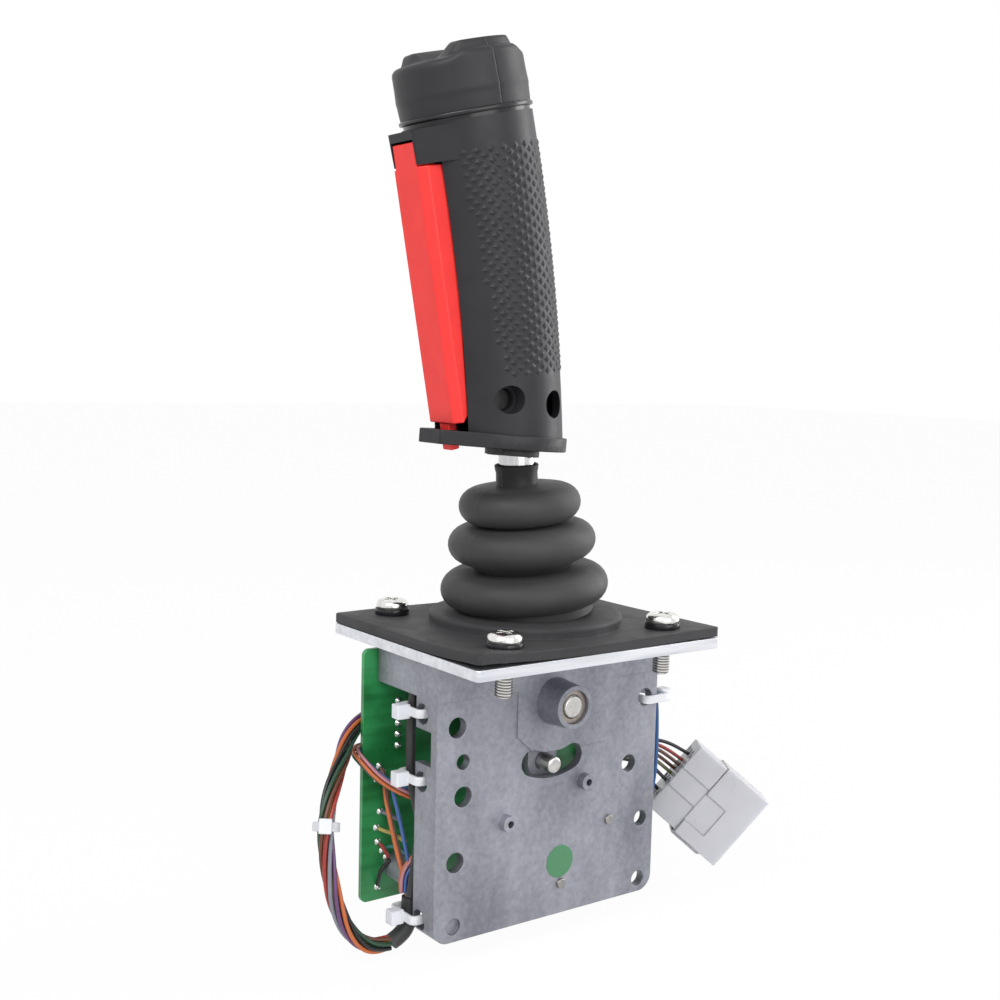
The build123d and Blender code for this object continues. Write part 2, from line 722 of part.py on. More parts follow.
def brow():
    """The nose in front of the collar that covers the trigger's top."""
    front = trigger_plane.from_local_coords(Vector(-brow_proud, 0, trigger_length))
    nose = cap_plane.to_local_coords(front).X
    half = trigger_tab_half + brow_margin
    outline = make_hull(Circle(grip_radius - brow_inset).edges() + Polyline((nose, -half), (nose, half)).edges())
    prism = extrude(outline, 2 * trigger_tab + brow_depth)
    prism = fillet(prism.edges().filter_by(Axis.Z).group_by(Axis.X)[0], brow_corner)
    prism = cap_plane * Pos(0, 0, -head_gap - brow_top_gap - 2 * trigger_tab - brow_depth) * prism
    return prism & trigger_plane * Pos(0, 0, trigger_body + 0.5 + 50) * Box(200, 200, 100)


def trigger_opening():
    """The cut through both shells in which the trigger stands."""
    body = Pos(-3, 0, trigger_body / 2 - 9.5) * Box(34, 2 * (trigger_half + 0.5), trigger_body + 20)
    tab = Pos(-6, 0, trigger_body + trigger_tab / 2) * Box(30, 2 * (trigger_tab_half + 0.35), trigger_tab + 1.2)
    return trigger_plane * (body + tab)


def grip_solid():
    body = bent_rod(grip_radius, -12, grip_height - head_gap) + brow()
    return body - cap_plane * Pos(0, 0, 30 - head_gap) * Box(120, 120, 60)


def make_grip_shell(side):
    cavity = bent_rod(grip_radius - grip_wall, -14, grip_height - 4.5)
    body = grip_solid() - cavity
    body += shell_ribs()
    body -= trigger_opening()
    body -= guard_plane * Pos(0, 0, -30) * Box(160, 160, 60)
    body -= trigger_pin_bore()
    body &= block((-90, 60), (0, 60) if side > 0 else (-60, 0), (0, 220))
    (boss_x, boss_z), (hub_x, hub_z) = access_places
    if side > 0:
        return body - rod_y(boss_x, boss_z, (-1, 10.4), 2.8 + 2 * close_gap)
    body -= rod_y(boss_x, boss_z, (-40, -14.0), access_hole_diameter)
    body -= rod_y(boss_x, boss_z, (-40, -10.0), 6.4)
    body -= rod_y(boss_x, boss_z, (-40, 1), 2.8 + 2 * close_gap)
    return body - rod_y(hub_x, hub_z, (-40, -hub_half - 1), access_hole_diameter)


def shell_ribs():
    """Bosses for the through screw and the shelf behind the trigger switch."""
    x, z = access_places[0]
    boss = rod_y(x, z, (-16.5, -9.4), 9.6) + rod_y(x, z, (-9.6, -2.0), 5.2) + rod_y(x, z, (2.0, 16.5), 5.2)
    shelf = block((switch_x[1], switch_x[1] + 2.4), (-16.0, 16.0), (switch_z[0] - 10, switch_z[1] + 2))
    seat = rod_x(0, spring_seat_z, (spring_seat_x, switch_x[1] + 1), 7.0)
    return (boss + shelf + seat) & bent_rod(grip_radius - grip_wall / 2, -10, grip_height - 5)


def trigger_pin_bore():
    depth, height = trigger_pin_spot
    length = 2 * (trigger_half - trigger_pin_inset + running_gap)
    rod = Pos(depth, 0, height) * Rot(90, 0, 0) * Cylinder(trigger_pin_diameter / 2 + close_gap, length)
    return trigger_plane * rod


def make_trigger_pin():
    depth, height = trigger_pin_spot
    length = 2 * (trigger_half - trigger_pin_inset)
    return trigger_plane * (Pos(depth, 0, height) * Rot(90, 0, 0) * Cylinder(trigger_pin_diameter / 2, length))


def trigger_profile(points, half):
    face = make_face(Polyline([(x, 0, z) for x, z in points], close=True))
    return extrude(face, amount=half, both=True, dir=(0, 1, 0))


def make_trigger():
    body = trigger_profile([(0, 0), (0, trigger_body), (trigger_depth_top, trigger_body),
                            (trigger_depth_foot, 2.0), (trigger_depth_foot - 1.6, 0)], trigger_half)
    front = body.edges().filter_by(Axis.Z).group_by(Axis.X)[0]
    body = chamfer(front, trigger_half - trigger_face_half)
    wall = trigger_wall
    hollow = trigger_profile([(wall, wall), (wall, trigger_body - wall), (30, trigger_body - wall), (30, wall)],
                             trigger_half - wall)
    tab = trigger_profile([(0, trigger_body - wall), (0, trigger_length), (7.0, trigger_length),
                           (7.0, trigger_body - wall)], trigger_tab_half)
    depth, height = trigger_pin_spot
    tab -= Pos(depth, 0, height) * Rot(90, 0, 0) * Cylinder(trigger_pin_diameter / 2 + running_gap, 30)
    nudge = trigger_profile([(wall - 0.5, 57.0), (wall - 0.5, 60.0), (switch_gap, 60.0), (switch_gap, 57.0)], 2.0)
    stub = trigger_profile([(0.6, -8.0), (0.6, 0.5), (0.6 + stub_depth, 0.5), (0.6 + stub_depth, -8.0)], stub_half)
    return trigger_plane * (body - hollow + tab + nudge + stub)


def make_trigger_switch():
    body = block(switch_x, (-switch_half, switch_half), switch_z)
    return body - trigger_plunger_solid(plunger_diameter + 2 * running_gap, 3.0)


def trigger_plunger_solid(diameter, extra):
    """The plunger's rod along X, from just behind the trigger's nudge into the switch."""
    nudge_x = trigger_foot[0] + switch_gap * cosd(trigger_tilt) - plunger_level * sind(trigger_tilt)
    nudge_z = trigger_foot[1] + switch_gap * sind(trigger_tilt) + plunger_level * cosd(trigger_tilt)
    return rod_x(0, nudge_z, (nudge_x + plunger_room, nudge_x + 5.2 + extra), diameter)


def make_trigger_plunger():
    return trigger_plunger_solid(plunger_diameter, 0)


def make_trigger_spring():
    """A coil between the trigger's front wall and the shelf."""
    helix = Helix(pitch=1.9, height=spring_length - 1.0, radius=2.6)
    start = Plane(origin=helix @ 0, z_dir=helix % 0)
    coil = sweep(start * Circle(0.4), path=helix, is_frenet=True)
    return trigger_plane * Pos(trigger_wall + 0.5, 0, spring_level) * Rot(0, 90, 0) * coil


# Thumb rocker head, in the frame of the cap


def make_rocker_carrier():
    plate = Pos(0, 0, -1.0) * Cylinder(cap_radius - carrier_inset, 2.0 - close_gap)
    posts = None
    for side in (-1, 1):
        post = Pos(side * 10.5, 0, rocker_pin_height / 2 + 1) * Box(3.4, 9.0, rocker_pin_height + 4)
        posts = post if posts is None else posts + post
    body = plate + posts
    body -= Pos(0, 0, rocker_pin_height) * Rot(0, 90, 0) * Cylinder(rocker_pin_diameter / 2 + close_gap, 30)
    for side in (-1, 1):
        body -= Pos(0, side * plunger_offset, 0) * Cylinder(1.9, 12)
    return cap_plane * Pos(0, 0, 0) * body


def make_rocker_pin():
    return cap_plane * (Pos(0, 0, rocker_pin_height) * Rot(0, 90, 0) * Cylinder(rocker_pin_diameter / 2, 24.0))


def make_rocker_paddle():
    """The tilting bar with two thumb lobes at its ends."""
    low, top = 4.6, 8.2
    length, width, place = paddle_lobe
    bar = Pos(0, 0, (low + top) / 2) * Box(16.6, 27.6, top - low)
    hub = Pos(0, 0, rocker_pin_height) * Rot(0, 90, 0) * Cylinder(3.4, 16.6)
    lobes = None
    for side in (-1, 1):
        lobe = Pos(0, side * place, (top + cap_height) / 2 - 1.4) * Box(length, width, cap_height - top - 2.0)
        lobe = fillet(lobe.edges().group_by(Axis.Z)[-1], 1.4)
        lobes = lobe if lobes is None else lobes + lobe
    body = bar + hub + lobes
    body -= Pos(0, 0, rocker_pin_height) * Rot(0, 90, 0) * Cylinder(rocker_pin_diameter / 2 + running_gap, 30)
    return cap_plane * body


def make_rocker_switches():
    switches = []
    for side in (-1, 1):
        case = Pos(0, side * plunger_offset, 1.2) * Box(6.0, 6.0, 2.4)
        case -= Pos(0, side * plunger_offset, 0) * Cylinder(1.5 + running_gap, 12)
        switches.append(cap_plane * case)
    return Compound(children=switches)


def make_rocker_plunger(side):
    top, bottom = 4.3, 0.4
    rod = Pos(0, side * plunger_offset, (top + bottom) / 2) * Cylinder(1.5, top - bottom)
    rod = fillet(rod.edges().group_by(Axis.Z)[-1], 1.2)
    return cap_plane * rod


def cap_outer():
    body = Pos(0, 0, (cap_height + rim_level) / 2) * Cylinder(cap_radius, cap_height - rim_level)
    body = fillet(body.edges().group_by(Axis.Z)[-1], 3.0)
    reach = cap_radius - lobe_inset
    for side in (-1, 1):
        outline = [(side * 3.5, 1), (side * 3.5, cap_height - 0.8), (side * 9.0, lobe_height), (side * reach, lobe_height),
                   (side * reach, 1)]
        lobe = extrude(make_face(Polyline([(0, y, z) for y, z in outline], close=True)), lobe_length / 2, both=True)
        lobe = fillet(lobe.edges().group_by(Axis.Z)[-1], 1.6)
        body += lobe & Cylinder(reach, 60)
    return body


def make_rubber_cap():
    cavity = Cylinder(cap_radius - cap_wall, 2 * (cap_height - 2.4))
    length, width, place = paddle_lobe
    for side in (-1, 1):
        cavity += Pos(0, side * place, cap_height / 2) * Box(length + soft_gap, width + soft_gap, cap_height)
    return cap_plane * (cap_outer() - cavity)


def make_cap_ring():
    """The bead that holds the cap's rim on the collar, with a groove under it."""
    bead = Pos(0, 0, rim_level - bead_height / 2) * Cylinder(cap_radius + bead_proud, bead_height)
    bead = fillet(bead.edges().filter_by(GeomType.CIRCLE), 0.45 * bead_height)
    groove = Pos(0, 0, (rim_level - head_gap) / 2) * Cylinder(cap_radius - bead_proud, rim_level + head_gap)
    return cap_plane * (bead + groove - Cylinder(cap_radius - carrier_inset + close_gap, 6))


# Control board


def make_control_board():
    face = Pos(0, -(board_top + board_drop) / 2) * RectangleRounded(board_length, board_drop - board_top, board_corner)
    body = extrude(Plane.XZ * face, board_thick, dir=(0, 1, 0))
    body = Pos(0, board_front, 0) * body
    for x, z in board_screw_places():
        body -= rod_y(x, z, (board_front - 1, board_back + 1), board_screw_diameter + 0.2)
    return body


def board_screw_places():
    return ((-36.0, -6.2), (36.0, -6.2), *standoff_places)


def make_board_screws():
    screws = []
    for x, z in board_screw_places():
        head = rod_y(x, z, (board_back, board_back + board_head_height), board_head_diameter)
        head = fillet(head.edges().group_by(Axis.Y)[-1], 0.8)
        screws.append(head + rod_y(x, z, (board_front - board_screw_reach, board_back + 0.5), board_screw_diameter))
    return Compound(children=screws)


def make_board_components():
    """The parts soldered on the rear of the board."""
    back = board_back
    header = block((-30.9, -25.4), (back, back + 6.0), (-44.0, -18.0))
    header -= block((-29.7, -26.6), (back + 2.0, back + 8), (-43.0, -19.0))
    chips = [block((-8.0, 8.0), (back, back + 3.4), (-34.0, -27.6)), block((12.0, 22.0), (back, back + 1.8), (-50.0, -44.0))]
    trimmers = [block((x, x + 6.6), (back, back + 5.0), (-62.0, -55.4)) for x in (-14.0, -2.0)]
    can = rod_y(26.0, -30.0, (back, back + 9.0), 8.0)
    relay = block((-20.0, -2.0), (back, back + 6.5), (-50.0, -40.0))
    return Compound(children=[header, *chips, *trimmers, can, relay])


def make_angle_sensor():
    return block((-2.6, 2.6), (board_front - sensor_thick, board_front), (pivot_z - 2.2, pivot_z + 2.2))


# Cable ties


def tie_band(x, y, z, corner):
    """A strap bent round to a flat loop, from its outer corners."""
    reach_x, reach_y = x[1] - x[0], y[1] - y[0]
    outer = RectangleRounded(reach_x, reach_y, corner)
    inner = RectangleRounded(reach_x - 2 * tie_thick, reach_y - 2 * tie_thick, corner - tie_thick)
    band = extrude(outer - inner, tie_width / 2, both=True)
    return Pos((x[0] + x[1]) / 2, (y[0] + y[1]) / 2, z) * band


def make_side_ties():
    """Straps through the side flange's holes, round the sleeve that runs along its edge."""
    ties = []
    for z, left_room, right_room, rear in zip(tie_levels, (0.6, 0.6, 1.5), (0.9, 0.9, 2.5), (2.6, 2.6, 3.7)):
        left = -half_frame - left_room - tie_thick
        right = -half_frame + side_thick + right_room + tie_thick
        band = tie_band((left, right), (tie_y - 0.6, rear + tie_thick), z, 2.2)
        head = block((left - tie_head[0], left + 0.4), (-3.2, tie_head[1] - 3.2), (z - tie_head[2] / 2, z + tie_head[2] / 2))
        ties.append(band + head)
    return Compound(children=ties)


def make_loop_tie():
    before, after = Vector(*loop_route[6]), Vector(*loop_route[7])
    plane = Plane(origin=(before + after) / 2, z_dir=after - before)
    band = Cylinder(loop_diameter / 2 + 0.2 + tie_thick, tie_width) - Cylinder(loop_diameter / 2 + 0.2, 9)
    head = Rot(0, 0, 150) * Pos(loop_diameter / 2 + tie_thick + tie_head[0] / 2, 0, 0) * Box(*tie_head)
    return plane * (band + head)


def make_right_tie():
    """A strap through the front hole and round the wall's right edge, over the blue wires."""
    x, z = through_holes[-1][0], through_holes[-1][1] - 0.9
    right = half_frame + blue_diameter + 1.2 + tie_thick
    band = tie_band((x - tie_thick / 2, right), (-frame_front - 0.2 - tie_thick, -frame_front + side_depth + 1.4), z, 2.0)
    head = block((right - 0.4, right + tie_head[0]), (-12.2, tie_head[1] - 12.2), (z - 0.6 - tie_head[2] / 2, z - 0.6 + tie_head[2] / 2))
    return band + head


# Connector on the short lead


def make_connector_housing():
    half_width, half_depth = connector_width / 2, connector_depth / 2
    tail_width, tail_depth = half_width - connector_step[0], half_depth - connector_step[1]
    tail = block((0, connector_tail + 1), (-tail_width, tail_width), (-tail_depth, tail_depth))
    nose = block((connector_tail, connector_length), (-half_width, half_width), (-half_depth, half_depth))
    nose = chamfer(nose.edges().group_by(Axis.X)[0], 0.8 * connector_step[0])
    panel = block((0, connector_tail), (rib_shift, tail_width), (0, half_depth))
    rib = block((0, connector_tail), (rib_shift - rib_width, rib_shift), (0, half_depth - connector_step[1] / 2))
    latch = block((connector_tail, connector_length - 5), (-half_width - 1.4, -half_width + 1), (-4, 4))
    latch = fillet(latch.edges().filter_by(Axis.Z).group_by(Axis.Y)[0], 1.2)
    body = tail + nose + panel + rib + latch
    body -= block((connector_tail - 1, connector_tail + window_length), window_sides, (half_depth - window_depth, half_depth + 1))
    body -= block((connector_length - mouth_depth, connector_length + 1),
                  (connector_wall - half_width, half_width - connector_wall),
                  (connector_wall - half_depth, half_depth - connector_wall))
    for row in (-1, 0, 1):
        for column in (-1.5, -0.5, 0.5, 1.5):
            bore = rod_x(column * column_pitch, row * row_pitch, (-1, connector_length), terminal_bore)
            body -= bore
    return connector_plane * body


def make_connector_terminals():
    pins = []
    for row in (-1, 0, 1):
        for column in (-1.5, -0.5, 0.5, 1.5):
            reach = (connector_length - mouth_depth - 6, connector_length - 2)
            pin = rod_x(column * column_pitch, row * row_pitch, reach, terminal_bore - 0.6)
            pins.append(connector_plane * pin)
    return Compound(children=pins)


nodes = {
    "mounting_plate": make_mounting_plate(),
    "boot_flange": make_boot_flange(),
    "boot_bellows": make_bellows(),
    "plate_screws": make_plate_screws(),
    "screw_washers": make_screw_washers(),
    "base_casting": make_base_casting(),
    "wall_screws": make_wall_screws(),
    "front_bush": make_front_bush(),
    "rear_bush": make_rear_bush(),
    "spring_post": make_spring_post(),
    "centring_spring": make_centring_spring(),
    "pivot_axle": make_pivot_axle(),
    "yoke": make_yoke_with_screw_hole(),
    "yoke_screw": make_yoke_screw(),
    "guide_pin": make_guide_pin(),
    "axle_magnet": make_axle_magnet(),
    "handle_shaft": make_handle_shaft(),
    "grip_flange": make_grip_flange(),
    "grip_hub": make_grip_hub(),
    "grip_screws": make_grip_screws(),
    "grip_shell_near": make_grip_shell(-1),
    "grip_shell_far": make_grip_shell(1),
    "trigger": make_trigger(),
    "trigger_pin": make_trigger_pin(),
    "trigger_switch": make_trigger_switch(),
    "trigger_plunger": make_trigger_plunger(),
    "trigger_spring": make_trigger_spring(),
    "rocker_carrier": make_rocker_carrier(),
    "rocker_pin": make_rocker_pin(),
    "rocker_paddle": make_rocker_paddle(),
    "rocker_switches": make_rocker_switches(),
    "rocker_plunger_near": make_rocker_plunger(-1),
    "rocker_plunger_far": make_rocker_plunger(1),
    "rubber_cap": make_rubber_cap(),
    "cap_ring": make_cap_ring(),
    "control_board": make_control_board(),
    "board_screws": make_board_screws(),
    "board_components": make_board_components(),
    "angle_sensor": make_angle_sensor(),
    "side_ties": make_side_ties(),
    "loop_tie": make_loop_tie(),
    "right_tie": make_right_tie(),
    "sleeved_cable": tube_along(sleeve_route, sleeve_diameter),
    "sleeve_end": tube_along(sleeve_end_route, sleeve_end_diameter),
    "wire_loop": tube_along(loop_route, loop_diameter),
    "branch_wires": tube_along(branch_route, branch_diameter),
    "blue_wires": tube_along(blue_route, blue_diameter),
    "pigtail_wires": tube_along(pigtail_route, pigtail_diameter),
    "connector_housing": make_connector_housing(),
    "connector_terminals": make_connector_terminals(),
}

for name, shape in nodes.items():
    export_step(shape, f"parts/{name}.step")
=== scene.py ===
import math

import bmesh
import bpy
from mathutils import Matrix, Vector, noise


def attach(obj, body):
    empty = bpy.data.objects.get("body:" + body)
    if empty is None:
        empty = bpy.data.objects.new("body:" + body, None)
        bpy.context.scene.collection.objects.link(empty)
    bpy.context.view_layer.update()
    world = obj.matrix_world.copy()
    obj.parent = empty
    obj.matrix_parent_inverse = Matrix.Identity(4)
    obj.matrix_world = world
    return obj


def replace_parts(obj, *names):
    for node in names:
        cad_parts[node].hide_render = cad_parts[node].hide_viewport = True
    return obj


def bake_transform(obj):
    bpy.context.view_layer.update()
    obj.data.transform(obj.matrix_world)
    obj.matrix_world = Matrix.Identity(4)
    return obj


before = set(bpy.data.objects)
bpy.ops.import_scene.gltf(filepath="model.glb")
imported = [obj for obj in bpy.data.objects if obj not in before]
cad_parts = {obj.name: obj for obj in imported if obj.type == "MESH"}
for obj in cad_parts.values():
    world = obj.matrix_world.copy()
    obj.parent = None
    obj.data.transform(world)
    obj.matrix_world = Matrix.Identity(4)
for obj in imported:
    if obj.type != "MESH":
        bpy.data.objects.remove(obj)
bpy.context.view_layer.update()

# Sizes of the real object, in metres
PIVOT = Vector((0.0, 0.0, -0.0153))
PLATE_HALF = (0.04445, 0.0381)
PLATE_TOP = 0.0032
GASKET_TOP = 0.0060
FOOT_TOP = 0.0095
SCREW_SPOT = 0.0292
WALL_FACE = -0.0150
BOARD_FRONT = 0.0180
BOARD_BACK = 0.0196
SHAFT_LEAN = 4.0
GRIP_FOOT = Vector((-0.0115, 0.0, 0.0614))
GRIP_HEIGHT = 0.0930
GRIP_RADIUS = 0.0187
LEAN_AT_FOOT = 3.8
LEAN_AT_HEAD = 14.0
CAP_RADIUS = 0.0186

# Boot: rings as width and height, waists as width
RINGS = ((0.0506, 0.0173), (0.0444, 0.0308), (0.0366, 0.0422))
RING_HALF = 0.0055
WAISTS = (0.0394, 0.0268, 0.0210)
BOOT_LEAN = math.atan(0.1)
NECK_RADIUS = 0.0063
NECK_TOP = 0.0540


def tilted(origin, degrees):
    """A frame at origin whose Z leans to -X by that many degrees."""
    place = Matrix.Rotation(-math.radians(degrees), 4, "Y")
    place.translation = origin
    return place


def grip_frame(distance):
    """The frame across the grip at a distance along its bent axis."""
    bend = GRIP_HEIGHT / math.radians(LEAN_AT_HEAD - LEAN_AT_FOOT)
    first = math.radians(LEAN_AT_FOOT)
    lean = first + distance / bend
    shift = Vector((math.cos(lean) - math.cos(first), 0.0, math.sin(lean) - math.sin(first)))
    return tilted(GRIP_FOOT + bend * shift, math.degrees(lean))


CAP_FRAME = grip_frame(GRIP_HEIGHT)


# Materials


class Shader:
    """A material under construction, with short ways to add its nodes."""

    def __init__(self, name, **sockets):
        self.material = bpy.data.materials.new(name)
        self.material.use_nodes = True
        self.tree = self.material.node_tree
        self.main = self.tree.nodes["Principled BSDF"]
        for socket, value in sockets.items():
            self.main.inputs[socket.replace("_", " ")].default_value = value
        self.place = self.add("ShaderNodeTexCoord").outputs["Object"]

    def add(self, kind, **values):
        node = self.tree.nodes.new(kind)
        for name, value in values.items():
            if hasattr(node, name):
                setattr(node, name, value)
            else:
                node.inputs[name].default_value = value
        return node

    def link(self, source, target):
        self.tree.links.new(source, target)

    def noise(self, scale, detail=4.0, stretch=None):
        node = self.add("ShaderNodeTexNoise", Scale=scale, Detail=detail)
        source = self.place
        if stretch:
            mapping = self.add("ShaderNodeMapping")
            mapping.inputs["Scale"].default_value = stretch
            self.link(source, mapping.inputs["Vector"])
            source = mapping.outputs["Vector"]
        self.link(source, node.inputs["Vector"])
        return node.outputs["Fac"]

    def ramp(self, source, low, high, start=0.3, end=0.7):
        node = self.add("ShaderNodeValToRGB")
        for element, place, colour in zip(node.color_ramp.elements, (start, end), (low, high)):
            element.position = place
            element.color = (*colour, 1.0)
        self.link(source, node.inputs["Fac"])
        return node.outputs["Color"]

    def range(self, source, low, high, start=0.3, end=0.7):
        node = self.add("ShaderNodeMapRange")
        for name, value in (("From Min", start), ("From Max", end), ("To Min", low), ("To Max", high)):
            node.inputs[name].default_value = value
        self.link(source, node.inputs["Value"])
        return node.outputs["Result"]

    def colour(self, source, low, high, start=0.3, end=0.7):
        self.link(self.ramp(source, low, high, start, end), self.main.inputs["Base Color"])

    def rough(self, source, low, high):
        self.link(self.range(source, low, high), self.main.inputs["Roughness"])

    def round_edges(self, radius):
        node = self.add("ShaderNodeBevel", samples=6, Radius=radius)
        self.link(node.outputs["Normal"], self.main.inputs["Normal"])

    def bump(self, source, strength, depth):
        node = self.add("ShaderNodeBump", Strength=strength, Distance=depth)
        self.link(source, node.inputs["Height"])
        if self.main.inputs["Normal"].links:
            self.link(self.main.inputs["Normal"].links[0].from_socket, node.inputs["Normal"])
        self.link(node.outputs["Normal"], self.main.inputs["Normal"])


def shades(colour, spread):
    """A darker and a lighter version of a colour."""
    low = tuple(max(0.0, c * (1 - spread)) for c in colour)
    return low, tuple(min(1.0, c * (1 + spread)) for c in colour)


def simple(name, colour, rough, spread=0.12, grain=900.0, depth=0.00002, mottle=120.0, **sockets):
    """A surface with soft mottling in its colour and gloss and a fine moulded or rolled grain."""
    s = Shader(name, **sockets)
    patches = s.noise(mottle)
    s.colour(patches, *shades(colour, spread))
    s.rough(s.noise(mottle * 2.3), rough - 0.05, rough + 0.05)
    s.bump(s.noise(grain, 6.0), 0.5, depth)
    return s.material


CAST_ROUND = 0.00035


def cast_metal():
    """Die-cast alloy: grey, mottled, with flow marks, a fine pitted skin and softened edges."""
    s = Shader("cast_alloy", Metallic=0.75, IOR=1.5)
    s.round_edges(CAST_ROUND)
    cloud = s.noise(55.0, 6.0, (1.0, 1.0, 0.45))
    fine = s.noise(700.0, 6.0)
    both = s.add("ShaderNodeMath", operation="MULTIPLY_ADD")
    s.link(fine, both.inputs[0])
    both.inputs[1].default_value = 0.45
    s.link(cloud, both.inputs[2])
    s.colour(both.outputs[0], (0.19, 0.195, 0.225), (0.36, 0.365, 0.41), 0.50, 0.95)
    s.rough(s.noise(210.0), 0.42, 0.60)
    s.bump(fine, 0.55, 0.00006)
    s.bump(cloud, 0.25, 0.0004)
    return s.material


def bright_plate():
    """Rolled aluminium with fine lines along its length."""
    s = Shader("bright_aluminium", Metallic=0.85)
    lines = s.noise(420.0, 5.0, (0.06, 1.0, 1.0))
    s.colour(lines, (0.60, 0.62, 0.66), (0.78, 0.79, 0.83))
    s.rough(lines, 0.26, 0.40)
    s.bump(lines, 0.3, 0.00003)
    return s.material


def steel(name, colour, rough, stretch=(1.0, 1.0, 0.05)):
    """Turned or drawn steel with fine marks along one direction."""
    s = Shader(name, Metallic=1.0)
    marks = s.noise(900.0, 4.0, stretch)
    s.colour(marks, *shades(colour, 0.14))
    s.rough(marks, max(0.05, rough - 0.06), rough + 0.06)
    s.bump(marks, 0.2, 0.00001)
    return s.material


def rubber(name, colour, rough):
    """Moulded rubber with a soft bloom and a faint grain."""
    s = Shader(name, Sheen_Weight=0.03, Specular_IOR_Level=0.28)
    bloom = s.noise(60.0, 5.0)
    s.colour(bloom, *shades(colour, 0.16))
    s.rough(s.noise(160.0), rough - 0.06, rough + 0.06)
    s.bump(s.noise(1500.0, 4.0), 0.45, 0.00003)
    s.bump(s.noise(90.0), 0.15, 0.0002)
    return s.material


def circuit_green():
    """Solder resist over copper, with broad areas and thin lines showing faintly through it."""
    s = Shader("board_green", Coat_Weight=0.2, Coat_Roughness=0.25)
    areas = s.noise(70.0, 2.0)
    lines = s.noise(260.0, 1.0, (0.15, 1.0, 1.6))
    both = s.add("ShaderNodeMath", operation="MULTIPLY_ADD")
    s.link(lines, both.inputs[0])
    both.inputs[1].default_value = 0.5
    s.link(areas, both.inputs[2])
    s.colour(both.outputs[0], (0.010, 0.150, 0.036), (0.030, 0.275, 0.082), 0.58, 0.86)
    s.rough(s.noise(130.0), 0.26, 0.40)
    s.bump(s.noise(1200.0), 0.2, 0.00001)
    return s.material


def clear_nylon(name, colour, weight):
    """Natural nylon that light goes into."""
    s = Shader(name, Subsurface_Weight=weight, Subsurface_Scale=0.004, Coat_Weight=0.1)
    s.main.inputs["Subsurface Radius"].default_value = (1.0, 1.0, 1.1)
    s.colour(s.noise(70.0), *shades(colour, 0.04))
    s.rough(s.noise(240.0), 0.26, 0.40)
    s.bump(s.noise(1400.0), 0.2, 0.00002)
    return s.material


WIRE_COLOURS = {
    "black": (0.010, 0.010, 0.011), "red": (0.30, 0.030, 0.022), "orange": (0.52, 0.13, 0.035),
    "brown": (0.11, 0.035, 0.018), "yellow": (0.42, 0.34, 0.09), "green": (0.018, 0.060, 0.032),
    "blue": (0.05, 0.12, 0.34), "purple": (0.13, 0.055, 0.15), "pink": (0.46, 0.20, 0.23),
    "grey": (0.20, 0.21, 0.25), "teal": (0.05, 0.22, 0.20), "olive": (0.14, 0.13, 0.05),
    "royal": (0.016, 0.085, 0.240),
}

MATERIALS = {
    "cast": cast_metal(),
    "plate": bright_plate(),
    "shaft": steel("bright_steel", (0.60, 0.59, 0.60), 0.20),
    "axle": steel("axle_steel", (0.56, 0.55, 0.53), 0.34, (1.0, 0.05, 1.0)),
    "zinc": steel("zinc_steel", (0.32, 0.31, 0.30), 0.36),
    "head": steel("screw_chrome", (0.78, 0.77, 0.75), 0.16),
    "dark_steel": steel("blackened_steel", (0.06, 0.06, 0.062), 0.42),
    "spring": steel("spring_steel", (0.20, 0.20, 0.21), 0.38),
    "bronze": steel("sintered_bronze", (0.34, 0.30, 0.26), 0.46),
    "boot": rubber("boot_rubber", (0.036, 0.036, 0.037), 0.54),
    "neck": rubber("neck_rubber", (0.012, 0.011, 0.012), 0.50),
    "sheet": rubber("sheet_rubber", (0.030, 0.030, 0.032), 0.60),
    "cap": rubber("cap_rubber", (0.021, 0.021, 0.023), 0.48),
    "ring": simple("ring_plastic", (0.012, 0.012, 0.014), 0.24, Specular_IOR_Level=0.4),
    "grip": simple("grip_plastic", (0.018, 0.018, 0.021), 0.44, grain=1600.0, depth=0.00003, Specular_IOR_Level=0.28),
    "inner": simple("inner_plastic", (0.018, 0.018, 0.019), 0.50),
    "red": simple("trigger_plastic", (0.78, 0.030, 0.026), 0.40, 0.05, grain=1300.0, Specular_IOR_Level=0.4),
    "board": circuit_green(),
    "edge": simple("board_edge", (0.16, 0.34, 0.24), 0.5),
    "chip": simple("component_plastic", (0.020, 0.020, 0.022), 0.38),
    "solder": simple("solder", (0.62, 0.62, 0.61), 0.28, Metallic=1.0, mottle=500.0),
    "tin": simple("tinned_brass", (0.58, 0.52, 0.40), 0.28, Metallic=1.0, mottle=400.0),
    "tie": clear_nylon("tie_nylon", (0.70, 0.71, 0.75), 0.35),
    "housing": clear_nylon("housing_nylon", (0.50, 0.50, 0.53), 0.45),
    "sleeve": simple("dark_sleeve", (0.022, 0.023, 0.023), 0.5, grain=2200.0, depth=0.0001),
    "sticker": simple("green_dot", (0.055, 0.20, 0.090), 0.42, 0.05),
}
for colour_name, rgb in WIRE_COLOURS.items():
    MATERIALS["wire_" + colour_name] = simple("wire_" + colour_name, rgb, 0.34, 0.10, grain=700.0)


# Building and placing pieces


def piece(name, body, slot, mesh, *materials, smooth=30.0):
    """A new piece of the object from a bmesh, riding on a CAD body."""
    data = bpy.data.meshes.new(name)
    bmesh.ops.recalc_face_normals(mesh, faces=mesh.faces)
    mesh.to_mesh(data)
    mesh.free()
    obj = bpy.data.objects.new(name, data)
    bpy.context.collection.objects.link(obj)
    for material in materials:
        data.materials.append(MATERIALS[material])
    data.shade_smooth()
    data.set_sharp_from_angle(angle=math.radians(smooth))
    if body:
        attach(obj, body)
    return obj


